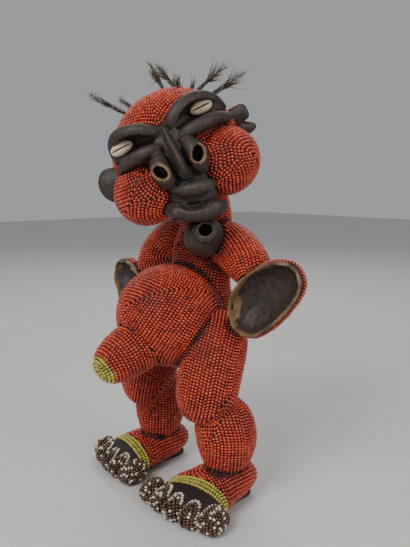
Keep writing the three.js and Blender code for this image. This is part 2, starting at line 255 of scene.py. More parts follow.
# Volumes under the beads, grouped by the field of beads that covers each.
BEADED = {
    "cap": [head_lobe([[3, 6, -54], [3, 6, 0], [4, 8, 56]], [[50, 46], [59, 52], [50, 46]], ACROSS, 2.3)],
    "cheek_left": [ball([36.5, -20, -26], [30.5, 32, 30], head=True)],
    "cheek_right": [ball([-36, -20, -20], [29.5, 32, 28.5], head=True)],
    "neck": [
        Lobe([[4, 34, 222], [8, 31, 255], [10, 18, 285], [8, 0, 310]],
             [[30, 27], [26, 25], [27, 26], [30, 30]], ACROSS, 2.4),
    ],
    "trunk": [
        Lobe([[0, 26, 114], [0, 33, 150], [0, 31, 195], [2, 34, 234], [6, 30, 258]],
             [[40, 30], [42, 34], [33, 25], [36, 28], [25, 22]], ACROSS, 2.6),
    ],
    "belly": [ball([0, -5, 167], [51, 51, 48])],
    "member": [
        Lobe([[0, -12, 150], [0, -45, 143], [0, -84, 125]], [[23, 23], [24, 24], [21, 21]], ACROSS, 2.8),
    ],
    "arm_left": [
        Lobe([[10, 36, 232], [38, 34, 233], [68, 29, 219], [92, 24, 203]],
             [[24, 24], [22, 22], [20, 20], [18, 16]], DEEP, 2.6),
    ],
    "arm_right": [
        Lobe([[-6, 36, 234], [-35, 33, 236], [-62, 27, 219], [-80, 19, 190]],
             [[24, 24], [22, 22], [19, 19], [17, 15]], DEEP, 2.6),
    ],
    "hand_left": [hand_lobe("left", 0, 17, 0)],
    "hand_right": [hand_lobe("right", 0, 17, 0)],
    "leg_left": [
        Lobe([[42, 26, 174], [47, 5, 126], [51, -11, 77]], [[30, 30], [29, 29], [31, 30]], ACROSS, 2.7),
        Lobe([[56, 2, 98], [57, 14, 64], [57, 12, 26]], [[28, 27], [28, 28], [25, 26]], ACROSS, 2.4),
    ],
    "leg_right": [
        Lobe([[-42, 26, 170], [-49, 8, 120], [-54, -2, 64]], [[30, 30], [30, 30], [29, 28]], ACROSS, 2.7),
        Lobe([[-52, 16, 104], [-53, 20, 62], [-54, 18, 22]], [[26, 26], [26, 26], [24, 24]], ACROSS, 2.4),
    ],
    "foot_left": [
        Lobe([[56, 47, 18], [56, 25, 20], [55, 3, 17], [54, -17, 13], [53, -43, 9]],
             [[20, 14], [23, 20], [28, 18], [38, 15], [46, 11]], ACROSS, 3),
    ],
    "foot_right": [
        Lobe([[-54, 54, 17], [-56, 33, 19], [-57, 9, 16], [-59, -11, 13], [-61, -37, 8]],
             [[20, 14], [24, 19], [28, 17], [36, 14], [44, 11]], ACROSS, 3),
    ],
}
for foot_side, toes in TOES.items():
    for number, toe in enumerate(toes, 1):
        BEADED[f"toe_{foot_side}_{number}"] = [toe_lobe(*toe)]

# Bare carving.
CARVED = [
    head_lobe([[-3, -35, 13], [31, -26, 20], [56, -6, 16]], [[12, 12], [15, 15], [9, 9]], p=3),
    head_lobe([[4, -35, 13], [-29, -26, 20], [-47, -7, 18]], [[12, 12], [15, 15], [9, 9]], p=3),
    head_lobe([[3, -44, 12], [14, -46, 24], [34, -39, 30], [49, -26, 25], [58, -10, 14]],
              [[5.5, 5], [8, 7.5], [8, 6.5], [6.5, 5], [5, 4]], p=2.6),
    head_lobe([[-1, -44, 14], [-14, -46, 25], [-31, -39, 31], [-42, -27, 29], [-49, -9, 19]],
              [[5.5, 5], [8, 6.5], [8, 6], [6.5, 5], [5, 4]], p=2.6),
    head_lobe([[3, -45, 5], [22, -47, 8.5], [42, -38, 8.5], [59, -14, 5]],
              [[6.4, 5], [8.5, 6.5], [8.5, 6], [6, 5]], p=2.6),
    head_lobe([[-2, -45, 6], [-21, -47, 8.5], [-38, -37, 8], [-50, -13, 4]],
              [[6.4, 5], [8.5, 6.5], [8.5, 6], [6, 5]], p=2.6),
    ball([1, -42, 8], [18, 8, 14], head=True),
    head_lobe([[1, -34, 24], [1, -42, 4], [1, -44, -30]], [[7, 7], [9, 10], [13, 11]], ACROSS, 2.4),
    *both_sides([[10.5, -46, 5], [15.5, -52, -10], [13, -48, -27]], [[7, 7.4], [9.6, 12], [8, 9.2]], ACROSS, 2.2),
    head_lobe([[1, -44, 21], [1, -54, 8], [1, -60, -8], [1, -58, -24]],
              [[2.8, 4.6], [3.2, 8.3], [3.4, 10], [3.8, 7]], ACROSS, 3),
    head_lobe([[1, -28, -7], [-1, -34, -30], [-4, -34, -60]], [[19, 14.7], [21.5, 14.7], [21, 13.8]], ACROSS, 2.6),
    head_lobe([[-18, -44, -26], [-7, -51, -32], [3, -53, -35], [12, -50, -37], [20, -42, -38]],
              [[5.5, 4.1], [7.4, 6], [7.8, 6.4], [7.4, 6], [5.5, 4.1]], p=2.4),
    head_lobe([[-28, -34, -38], [-18, -44, -46], [-5, -49, -53], [8, -46, -57], [20, -36, -59]],
              [[8.3, 7.4], [10.1, 8.3], [11, 8.3], [10.1, 8.3], [8.3, 7.4]], p=2.8),
    ball([-20, -51, -46], [5.5, 5, 5], head=True),
    ball([11, -52, -56], [5.5, 5, 5], head=True),
    head_lobe([[48, 4, 3.5], [62, 1, 4.5], [75, -3, 4.5]], [[6, 9], [5, 8], [5, 8]], p=4),
    head_lobe([[46, 8, -5], [63, 4, -8], [76.5, 0, -11]], [[6, 9], [5, 7], [4, 4]], p=3),
    head_lobe([[-52, 4, -15], [-58, 1, 0], [-52, 4, 13]], [[14, 6], [16, 7], [14, 6]], ACROSS, 2.6),
    Lobe([[17, 24, 240], [36, 5, 242], [53, -13, 244]], [[18, 18], [18, 18], [14, 14]], UPRIGHT, 2.6),
    Lobe([[44, 1, 246], [60, -13, 250]], [[11, 11]], UPRIGHT, 4),
]
HOLLOWS = [
    *both_sides([[8, -44, 16], [30, -43, 21], [51, -33, 18]], [[8, 5.5], [13, 7.2], [8, 5.5]], p=2.2),
    *both_sides([[15, -42, -10], [18, -72, -12]], [[4.6, 6.4]], p=2.6),
    head_lobe([[-17, -56, -37], [-9, -57, -45], [2, -58, -48], [13, -54, -45]],
              [[7.4, 2.8], [12, 4], [12, 4], [7.4, 2.8]], p=2.4),
    head_lobe([[-68, -8, -9], [-68, -8, 7]], [[3.6, 4.5]], ACROSS, 2),
    Lobe([[44, 1, 247], [70, -22, 253]], [[5.6, 5.6]], UPRIGHT, 5),
]
PALMS = {side: hand_lobe(side, 4, 21, 11) for side in HANDS}
SOLES = [
    Lobe([[56, 40, 3], [55, 4, 3], [54, -36, 3]], [[13, 6], [18, 6], [38, 6]], ACROSS, 5),
    Lobe([[-54, 47, 3], [-57, 10, 3], [-60, -30, 3]], [[13, 6], [18, 6], [36, 6]], ACROSS, 5),
]

# Yellow bands across the feet: middle, and turn about the upright in degrees.
BANDS = {"left": ([52, -19], 8), "right": ([-58, -13], -8)}
BAND_DEPTH = 9.6
TIP_AXIS = np.array([[0, -45, 143], [0, -84, 125]], float)
TIP_LENGTH = 9.0

# Cowrie eyes in the head's own frame: the ends of each shell.
COWRIES = {
    "left": [[27, -35, 22], [47, -31, 22]],
    "right": [[-27, -35, 22], [-47, -31, 22]],
}

# Tufts: root, tip, half thickness at root and at tip.
TUFTS = [
    ([-13, -30, 344], [-35, -66, 365], 1.6, 1.4),
    ([1, -6, 362], [-12, -17, 393], 1.8, 4.2),
    ([4, 6, 366], [-16, -7, 395], 1.8, 2.6),
    ([13, -6, 366], [16, -8, 382], 3.6, 3.2),
    ([15, 7, 362], [16, 10, 379], 1.8, 1.6),
    ([19, 0, 360], [47, 20, 389], 1.8, 3.2),
    ([22, 12, 358], [45, 44, 385], 1.8, 2.6),
    ([-19, -26, 352], [-34, -36, 364], 1.6, 1.6),
]

# ---- fields and surfaces ----


def join(a, b, blend):
    """Smaller of two distances, rounded over blend millimetres where they are alike."""
    return np.minimum(a, b) - np.maximum(blend - np.abs(a - b), 0) ** 2 / (4 * blend)


def hash_noise(points, size, seed):
    """Smooth noise from -1 to 1: random values on a lattice of that size, mixed between with
    the weight 3u^2 - 2u^3 along each axis."""
    spot = points / size + 1000
    cell = np.floor(spot).astype(np.int64)
    u = spot - cell
    u = u * u * (3 - 2 * u)
    total = np.zeros(len(points))
    for corner in range(8):
        bits = np.array([corner & 1, corner >> 1 & 1, corner >> 2 & 1])
        key = (cell + bits) @ np.array([73856093, 19349663, 83492791]) + seed * 2654435761
        key = (key ^ (key >> 13)) * 1274126177 & 0xFFFFFFFF
        value = ((key ^ (key >> 16)) & 0xFFFF) / 32767.5 - 1
        weight = np.prod(np.where(bits, u, 1 - u), axis=1)
        total += value * weight
    return total


class Block:
    """A box of sampled distances, in millimetres."""

    def __init__(self, low, high, step):
        self.low = np.asarray(low, float)
        self.step = step
        self.shape = tuple(int(v) for v in np.ceil((np.asarray(high) - self.low) / step) + 1)
        self.value = np.full(self.shape, 12.0)

    def window(self, lobe, pad):
        """Slices of the samples near a lobe, and their points."""
        first = np.maximum(np.floor((lobe.low - pad - self.low) / self.step).astype(int), 0)
        last = np.minimum(np.ceil((lobe.high + pad - self.low) / self.step).astype(int) + 1, self.shape)
        if np.any(last <= first):
            return None, None
        cut = tuple(slice(a, b) for a, b in zip(first, last))
        axes = [self.low[i] + self.step * np.arange(first[i], last[i]) for i in range(3)]
        grid = np.stack(np.meshgrid(*axes, indexing="ij"), axis=-1)
        return cut, grid.reshape(-1, 3)

    def add(self, lobe, grow=0.0, blend=1.0, pad=12.0):
        cut, points = self.window(lobe, pad + max(grow, 0))
        if cut is None:
            return
        here = self.value[cut]
        there = lobe.reach(points, grow).reshape(here.shape)
        self.value[cut] = join(here, there, blend)

    def cut(self, lobe, blend=0.8, ragged=0.0, grow=0.0):
        window, points = self.window(lobe, 6.0)
        if window is None:
            return
        here = self.value[window]
        there = lobe.reach(points, grow)
        if ragged:
            there = there + ragged * hash_noise(points, 5.0, 3) + 0.5 * ragged * hash_noise(points, 2.0, 4)
        self.value[window] = -join(-here, there.reshape(here.shape), blend)

    def at(self, points):
        """Value at any points, mixed between the eight samples round each."""
        spot = (points - self.low) / self.step
        spot = np.clip(spot, 0, np.array(self.shape) - 1.001)
        cell = spot.astype(int)
        u = spot - cell
        total = np.zeros(len(points))
        for corner in range(8):
            bits = np.array([corner & 1, corner >> 1 & 1, corner >> 2 & 1])
            i, j, k = (cell + bits).T
            total += self.value[i, j, k] * np.prod(np.where(bits, u, 1 - u), axis=1)
        return total

    def normal(self, points, reach=1.0):
        """Outward direction at points near the surface."""
        slope = np.empty_like(points)
        for i in range(3):
            nudge = np.zeros(3)
            nudge[i] = reach
            slope[:, i] = self.at(points + nudge) - self.at(points - nudge)
        return unit(slope)

    def surface(self):
        """Closed quads where the sampled distance changes sign.

        Each crossed cell has one vertex, the mean of the points where the surface crosses the
        edges of the cell, and each crossed edge of the grid has one quad.
        """
        field = self.value
        shape = np.array(self.shape)
        cells = shape - 1
        strides = np.array([cells[1] * cells[2], cells[2], 1])
        tally = np.zeros(cells.prod(), np.int32)
        spots, corners, turned = [], [], []
        for axis in range(3):
            u, v = (axis + 1) % 3, (axis + 2) % 3
            low = [slice(None)] * 3
            high = [slice(None)] * 3
            low[axis], high[axis] = slice(0, -1), slice(1, None)
            a, b = field[tuple(low)], field[tuple(high)]
            index = np.argwhere((a < 0) != (b < 0))
            keep = np.all((index[:, [u, v]] > 0) & (index[:, [u, v]] < shape[[u, v]] - 1), axis=1)
            index = index[keep]
            here, there = a[tuple(index.T)], b[tuple(index.T)]
            spot = index.astype(float)
            spot[:, axis] += here / (here - there)
            ring = []
            for du, dv in ((-1, -1), (0, -1), (0, 0), (-1, 0)):
                cell = index.copy()
                cell[:, u] += du
                cell[:, v] += dv
                ring.append(cell @ strides)
            ring = np.stack(ring, axis=1)
            ring[here >= 0] = ring[here >= 0][:, ::-1]
            corners.append(ring)
            spots.append(spot)
        corners = np.vstack(corners)
        spots = np.vstack(spots)
        used, flat = np.unique(corners, return_inverse=True)
        quads = flat.reshape(corners.shape)
        count = np.bincount(quads.ravel(), minlength=len(used))
        verts = np.empty((len(used), 3))
        for i in range(3):
            weights = np.repeat(spots[:, i], 4)
            verts[:, i] = np.bincount(quads.ravel(), weights=weights, minlength=len(used)) / count
        return verts * self.step + self.low, quads


def triangles_of(quads):
    return np.vstack([quads[:, [0, 1, 2]], quads[:, [0, 2, 3]]])


# ---- rows of beads ----


def slope_on(verts, tris, value):
    """Steepness of a value along a triangle surface, at each vertex."""
    e1 = verts[tris[:, 1]] - verts[tris[:, 0]]
    e2 = verts[tris[:, 2]] - verts[tris[:, 0]]
    d1 = value[tris[:, 1]] - value[tris[:, 0]]
    d2 = value[tris[:, 2]] - value[tris[:, 0]]
    g11 = np.einsum("ij,ij->i", e1, e1)
    g22 = np.einsum("ij,ij->i", e2, e2)
    g12 = np.einsum("ij,ij->i", e1, e2)
    area = np.maximum(g11 * g22 - g12 ** 2, 1e-9)
    square = (g22 * d1 ** 2 - 2 * g12 * d1 * d2 + g11 * d2 ** 2) / area
    steep = np.sqrt(np.maximum(square, 0))
    total = np.bincount(tris.ravel(), weights=np.repeat(steep, 3), minlength=len(verts))
    count = np.bincount(tris.ravel(), minlength=len(verts))
    return total / np.maximum(count, 1)


def spread(verts, tris, start, fixed, rounds=160):
    """Distance along a triangle surface from where it is already known.

    In each triangle a straight wave front that passes two corners at their times gives the time
    at the third; the smallest time found for a vertex is kept, over and over until none falls.
    """
    time = np.where(fixed, start, 1e6)
    turns = []
    for c, a, b in ((0, 1, 2), (1, 2, 0), (2, 0, 1)):
        ca = verts[tris[:, a]] - verts[tris[:, c]]
        cb = verts[tris[:, b]] - verts[tris[:, c]]
        aa = np.einsum("ij,ij->i", ca, ca)
        bb = np.einsum("ij,ij->i", cb, cb)
        ab = np.einsum("ij,ij->i", ca, cb)
        det = np.maximum(aa * bb - ab * ab, 1e-9)
        turns.append((tris[:, c], tris[:, a], tris[:, b], bb / det, aa / det, -ab / det,
                      np.sqrt(aa), np.sqrt(bb)))
    for _ in range(rounds):
        old = time.copy()
        for c, a, b, q11, q22, q12, la, lb in turns:
            ta, tb = time[a], time[b]
            ones = q11 + q22 + 2 * q12
            mixed = (q11 + q12) * ta + (q22 + q12) * tb
            quad = q11 * ta ** 2 + 2 * q12 * ta * tb + q22 * tb ** 2
            under = mixed ** 2 - ones * (quad - 1)
            wave = (mixed + np.sqrt(np.maximum(under, 0))) / ones
            from_a = q11 * (ta - wave) + q12 * (tb - wave)
            from_b = q12 * (ta - wave) + q22 * (tb - wave)
            good = (under > 0) & (from_a < 0) & (from_b < 0)
            best = np.where(good, wave, np.minimum(ta + la, tb + lb))
            np.minimum.at(time, c, best)
        time[fixed] = start[fixed]
        if np.max(old - time) < 1e-4:
            break
    return time


def chain(links, count):
    """Joins pairs of node numbers into open and closed runs."""
    ends = links.T.ravel()
    others = links[:, ::-1].T.ravel()
    order = np.argsort(ends, kind="stable")
    ends, others = ends[order], others[order]
    first = np.searchsorted(ends, np.arange(count))
    degree = np.bincount(ends, minlength=count)
    one = others[np.minimum(first, len(others) - 1)]
    two = np.where(degree > 1, others[np.minimum(first + 1, len(others) - 1)], -1)
    one, two = one.tolist(), two.tolist()
    seen = bytearray(count)
    runs = []
    for start in list(np.flatnonzero(degree == 1)) + list(range(count)):
        if seen[start]:
            continue
        run = [int(start)]
        seen[start] = 1
        here = one[start]
        while here >= 0 and not seen[here]:
            run.append(here)
            seen[here] = 1
            here = one[here] if not seen[one[here]] else two[here]
        closed = degree[start] == 2 and len(run) > 2
        runs.append((run, closed))
    return runs


def rows_on(verts, tris, value, level):
    """Lines along a surface where a value has one level, as runs of points."""
    above = value[tris] > level
    tally = above.sum(axis=1)
    crossed = (tally == 1) | (tally == 2)
    if not crossed.any():
        return []
    tri, above, tally = tris[crossed], above[crossed], tally[crossed]
    odd = np.where(tally == 1, above.argmax(axis=1), (~above).argmax(axis=1))
    rows = np.arange(len(tri))
    a = tri[rows, odd]
    b = tri[rows, (odd + 1) % 3]
    c = tri[rows, (odd + 2) % 3]
    size = len(verts)
    keys = np.concatenate([np.minimum(a, b) * size + np.maximum(a, b),
                           np.minimum(a, c) * size + np.maximum(a, c)])
    nodes, flat = np.unique(keys, return_inverse=True)
    i, j = nodes // size, nodes % size
    w = (level - value[i]) / (value[j] - value[i])
    points = verts[i] * (1 - w)[:, None] + verts[j] * w[:, None]
    links = np.stack([flat[:len(tri)], flat[len(tri):]], axis=1)
    return [(points[run], closed) for run, closed in chain(links, len(nodes))]


def string_beads(points, closed, pitch):
    """Evenly spaced places along a run of points, and the direction of the run at each."""
    if closed:
        points = np.vstack([points, points[:1]])
    for _ in range(3):
        inner = (points[:-2] + 2 * points[1:-1] + points[2:]) / 4
        points = np.vstack([points[:1], inner, points[-1:]])
    legs = np.linalg.norm(np.diff(points, axis=0), axis=1)
    reach = np.concatenate([[0], np.cumsum(legs)])
    count = int(round(reach[-1] / pitch))
    if count < 1:
        return np.empty((0, 3)), np.empty((0, 3))
    spots = (np.arange(count) + 0.5) * reach[-1] / count

    def along(distance):
        return np.stack([np.interp(distance, reach, points[:, i]) for i in range(3)], axis=1)

    run = along(np.minimum(spots + 0.8, reach[-1])) - along(np.maximum(spots - 0.8, 0))
    return along(spots), unit(run)



# ---- ground under the beads ----

BEAD_CENTRE = 1.5
WOOD_DEPTH = 2.15
FAR = 40.0
CAMERA_SIDE = unit([0.766, -0.643, 0])


def reach_of(lobes, points, grow=0.0):
    """Smallest distance of points outside any of the lobes; FAR where no lobe is near."""
    best = np.full(len(points), FAR)
    for lobe in lobes:
        near = np.all((points > lobe.low - 16) & (points < lobe.high + 16), axis=1)
        if near.any():
            best[near] = np.minimum(best[near], lobe.reach(points[near], grow))
    return best


def wood_reach(points):
    """Distance outside the bare carving, with the palms and their rims counted as bare."""
    return np.minimum(reach_of(CARVED, points), reach_of(PALMS.values(), points) - 2.6)


@functools.lru_cache(maxsize=1)
def bead_ground():
    """The skin that bead centres lie on: its samples, corners, triangles and reach of each field."""
    block = Block([-136, -84, -6], [136, 84, 382], 2.0)
    for lobes in BEADED.values():
        for number, lobe in enumerate(lobes):
            block.add(lobe, -BEAD_CENTRE, 5.0 if number else 0.8)
    verts, quads = block.surface()
    tris = triangles_of(quads)
    reach = np.stack([reach_of(lobes, verts, -BEAD_CENTRE) for lobes in BEADED.values()])
    return block, verts, tris, reach, wood_reach(verts)


def band_offset(side, points):
    """How far in front of the middle of a foot's yellow band points are."""
    (x, y), turn = BANDS[side]
    turn = math.radians(turn)
    gap = points[:, :2] - PLACE[:2] - [x, y]
    return gap @ np.array([math.sin(turn), -math.cos(turn)])


def off_axis(name, points):
    """Offset of points from the axis of the nearest lobe of a field, and the axis direction."""
    best = np.full(len(points), np.inf)
    offset = np.zeros_like(points)
    along = np.zeros_like(points)
    for lobe in BEADED[name]:
        t = np.clip(lobe.locate(points), 0, 1) * lobe.parts
        k = np.minimum(t.astype(int), lobe.parts - 1)
        u = (t - k)[:, None]
        gap = points - lobe.centre[k] * (1 - u) - lobe.centre[k + 1] * u
        far = lobe.reach(points)
        near = far < best
        best[near] = far[near]
        offset[near] = gap[near]
        along[near] = lobe.along[k][near]
    return offset, along


def first_row(name, verts, edge, wood):
    """A value whose zero line starts the rows of a field, and where that line counts."""
    everywhere = np.ones(len(verts), bool)
    if name == "cap":
        local = (verts - PLACE - HEAD_CENTRE) @ HEAD_TURN.T
        return wood - 1.0, (local[:, 2] > 4) & (local[:, 1] < 6)
    if name.startswith(("cheek", "hand", "toe")):
        return edge, everywhere
    if name == "belly":
        return edge, reach_of(BEADED["member"], verts) > 6
    if name == "member":
        run = unit(TIP_AXIS[1] - TIP_AXIS[0])
        return (verts - PLACE - TIP_AXIS[0]) @ run - 5, everywhere
    if name.startswith("foot"):
        return verts[:, 2] - 2.0, everywhere
    toward = np.array([0.0, 0.3, 1.0]) if name.startswith("arm") else CAMERA_SIDE
    if name == "trunk":
        toward = np.array([0.6, 0.8, 0.0])
    offset, along = off_axis(name, verts)
    return np.einsum("ij,ij->i", offset, np.cross(along, toward)), offset @ toward > 0


def time_from(verts, tris, value, keep):
    """Distance along the surface from the zero line of a value, where keep holds."""
    positive = value[tris] > 0
    mixed = positive.any(axis=1) & ~positive.all(axis=1) & keep[tris].any(axis=1)
    fixed = np.zeros(len(verts), bool)
    fixed[tris[mixed].ravel()] = True
    start = np.abs(value) / np.maximum(slope_on(verts, tris, value), 0.2)
    return spread(verts, tris, np.minimum(start, 4.0), fixed)


class Beads:
    """Places of beads on one field: centre, run of the row, outward direction, row number."""

    def __init__(self, spots, runs, outs, rows):
        self.spots, self.runs, self.outs, self.rows = spots, runs, outs, rows

    def pick(self, keep):
        return Beads(self.spots[keep], self.runs[keep], self.outs[keep], self.rows[keep])

    @staticmethod
    def merged(several):
        return Beads(*(np.concatenate([getattr(part, key) for part in several])
                       for key in ("spots", "runs", "outs", "rows")))


@functools.lru_cache(maxsize=None)
def rows_of(name, row_pitch, bead_pitch):
    """Beads laid in rows over one field.

    Rows are the lines at half, one and a half, two and a half ... pitches of distance along the
    surface from the first line of the field, and beads are spaced evenly on each.
    """
    block, verts, tris, reach, wood = bead_ground()
    index = list(BEADED).index(name)
    others = np.delete(reach, index, axis=0).min(axis=0)
    edge = np.maximum(reach[index] - others, 1.0 - wood)
    used = (edge[tris] < 3.0).any(axis=1)
    part, flat = np.unique(tris[used], return_inverse=True)
    faces = flat.reshape(-1, 3)
    corners = verts[part]
    value, keep = first_row(name, corners, edge[part], wood[part])
    time = time_from(corners, faces, value, keep)
    time = time + 0.28 * hash_noise(corners, 13.0, index)
    spots, runs, rows = [], [], []
    reachable = time[time < 1e5]
    for number in range(int(reachable.max() / row_pitch) + 1):
        for points, closed in rows_on(corners, faces, time, (number + 0.5) * row_pitch):
            if len(points) < 3:
                continue
            spot, run = string_beads(points, closed, bead_pitch)
            spots.append(spot)
            runs.append(run)
            rows.append(np.full(len(spot), float(number)))
    spots, runs, rows = np.vstack(spots), np.vstack(runs), np.concatenate(rows)
    outs = block.normal(spots, 1.5)
    spots = spots - outs * block.at(spots)[:, None]
    own = reach_of(BEADED[name], spots, -BEAD_CENTRE)
    rest = np.full(len(spots), FAR)
    for other, lobes in BEADED.items():
        if other != name:
            rest = np.minimum(rest, reach_of(lobes, spots, -BEAD_CENTRE))
    keep = (own - rest < -0.55) & (wood_reach(spots) > 1.3) & (spots[:, 2] > 2.4)
    side = "left" if "left" in name else "right"
    if name.startswith("foot"):
        keep &= band_offset(side, spots) < -BAND_DEPTH / 2 - 0.2
    if name.startswith("toe"):
        keep &= band_offset(side, spots) > BAND_DEPTH / 2 - 0.2
    return Beads(spots, runs, outs, rows).pick(keep)


@functools.lru_cache(maxsize=None)
def band_rows(side, row_pitch, bead_pitch):
    """Three straight rows of beads across a foot, at equal steps along it."""
    block, verts, tris, _, _ = bead_ground()
    near = np.abs(band_offset(side, verts)) < 12
    near &= (verts[:, 2] < 60) & (verts[:, 0] * (1 if side == "left" else -1) > 0)
    used = near[tris].all(axis=1)
    part, flat = np.unique(tris[used], return_inverse=True)
    faces, corners = flat.reshape(-1, 3), verts[part]
    value = band_offset(side, corners) + 0.2 * hash_noise(corners, 9.0, 5)
    spots, runs, rows = [], [], []
    for number in (-1, 0, 1):
        for points, closed in rows_on(corners, faces, value, number * row_pitch):
            if len(points) < 3:
                continue
            spot, run = string_beads(points, closed, bead_pitch)
            spots.append(spot)
            runs.append(run)
            rows.append(np.full(len(spot), float(number)))
    spots, runs, rows = np.vstack(spots), np.vstack(runs), np.concatenate(rows)
    outs = block.normal(spots, 1.5)
    return Beads(spots, runs, outs, rows).pick(spots[:, 2] > 2.4)


def crease_shade_and_grime(spots):
    """How deep in a crease or hollow each bead lies, from 0 in the open to 1, also rising near bare wood and within
    12 mm of the floor. The bead finishes darken by it: painted shade in creases, hollows and at the floor, mixed
    with old soiling.
    """
    block = bead_ground()[0]
    outs = block.normal(spots, 1.5)
    shut = np.zeros(len(spots))
    # how shut in the space above each bead is, as for ambient occlusion: this drives painted shade
    for step, share in ((5.0, 0.6), (10.0, 0.4)):
        shut += share * np.clip(1 - block.at(spots + outs * step) / step, 0, 1)
    wood = np.clip(1 - wood_reach(spots) / 5.0, 0, 1)
    low = np.clip(1 - spots[:, 2] / 12.0, 0, 1)
    return np.clip(2.2 * shut + 0.55 * wood + 0.6 * low, 0, 1)


# ---- meshes ----


def make_mesh(name, verts, faces, smooth=True, **values):
    """Object of a mesh given in millimetres, with a number for each corner under each name."""
    mesh = bpy.data.meshes.new(name)
    mesh.from_pydata((np.asarray(verts) * MM).tolist(), [], np.asarray(faces).tolist())
    if smooth:
        mesh.shade_smooth()
    for key, value in values.items():
        layer = mesh.attributes.new(key, "FLOAT", "POINT")
        layer.data.foreach_set("value", np.asarray(value, np.float32))
    mesh.update()
    piece = bpy.data.objects.new(name, mesh)
    bpy.context.scene.collection.objects.link(piece)
    return piece


def bead_form():
    """Corners and triangles of one bead, for a length and width of 1.

    Two rings of seven corners round the run, closed by a corner at each end; the corners crowd
    towards the outer side, which is the side that shows.
    """
    angles = np.radians([0, 42, 84, 138, -138, -84, -42])
    ring = np.stack([np.cos(angles), np.sin(angles)], axis=1)
    size = len(angles)
    ends = np.array([[-0.5, 0, 0], [0.5, 0, 0]])
    rings = [np.column_stack([np.full(size, x), ring * 0.5]) for x in (-0.27, 0.27)]
    verts = np.vstack([rings[0], rings[1], ends])
    i = np.arange(size)
    j = (i + 1) % size
    wall = np.vstack([
        np.stack([i, j, j + size], axis=1),
        np.stack([i, j + size, i + size], axis=1),
        np.stack([j, i, np.full(size, 2 * size)], axis=1),
        np.stack([i + size, j + size, np.full(size, 2 * size + 1)], axis=1),
    ])
    return verts, wall


def bead_piece(name, beads, length, width, rng, finish):
    """All the beads of a piece as one mesh: the bead form set on each place."""
    form, faces = bead_form()
    count = len(beads.spots)
    sizes = 1 + 0.05 * rng.standard_normal((count, 2)).clip(-2, 2)
    outs = unit(beads.outs + 0.10 * rng.standard_normal((count, 3)))
    runs = unit(beads.runs + 0.07 * rng.standard_normal((count, 3)))
    across = unit(np.cross(outs, runs))
    outs = np.cross(runs, across)
    lift = 0.12 * rng.standard_normal(count).clip(-2, 2)
    spots = beads.spots + outs * lift[:, None]
    verts = (
        spots[:, None]
        + runs[:, None] * (form[:, 0] * length)[None, :, None] * sizes[:, 0, None, None]
        + outs[:, None] * (form[:, 1] * width)[None, :, None] * sizes[:, 1, None, None]
        + across[:, None] * (form[:, 2] * width)[None, :, None] * sizes[:, 1, None, None]
    ).reshape(-1, 3)
    tris = (faces[None] + len(form) * np.arange(count)[:, None, None]).reshape(-1, 3)
    each = len(form)
    piece = make_mesh(
        name, verts, tris,
        tint=np.repeat(rng.random(count), each),
        # painted crease and floor shade mixed with soiling, read by the bead finishes
        grime=np.repeat(crease_shade_and_grime(beads.spots), each),
        ring=np.repeat(beads.rows, each),
    )
    piece.data.materials.append(finish)
    return piece


# ---- bare carving ----

THROAT_LOW = 222.0
THROAT_HIGH = 262.0
WRIST_LEFT = 66.0
WRIST_RIGHT = -62.0


def palm_grooves(side, points):
    """Radial grooves of a palm: cosine ridges in the angle about the wrist end, waved by noise."""
    centre, out = HANDS[side]
    facing = unit(out)
    across = unit([-facing[1], facing[0], 0])
    if centre[0] < 0:
        across = -across
    up = unit(np.cross(facing, across))
    up = -up if up[2] < 0 else up
    gap = points - PLACE - centre
    angle = np.arctan2(gap @ up + 44, gap @ across + 34)
    waves = 26 * angle + 1.6 * hash_noise(points, 11.0, 7)
    return 0.55 * np.cos(waves) * (0.6 + 0.4 * hash_noise(points, 8.0, 8))


def part_of_body(area, points):
    """Distance outside one of the four parts that the carving is sampled in."""
    x, _, z = points.T
    waist = np.maximum(x - WRIST_LEFT, WRIST_RIGHT - x)
    if area == "head":
        return np.minimum(np.maximum(waist, THROAT_LOW - z), THROAT_HIGH - z)
    if area == "left":
        return np.maximum.reduce([WRIST_LEFT - x, z - THROAT_HIGH, 120 - z])
    if area == "right":
        return np.maximum.reduce([x - WRIST_RIGHT, z - THROAT_HIGH, 120 - z])
    return np.minimum(np.maximum(waist, z - THROAT_LOW), z - 120)


AREAS = {
    "head": ([-78, -84, 219], [100, 84, 380], 1.0),
    "left": ([64, -30, 117], [134, 70, 264], 1.0),
    "right": ([-134, -30, 117], [-60, 70, 264], 1.0),
    "body": ([-136, -84, -4], [136, 84, 225], 2.2),
}


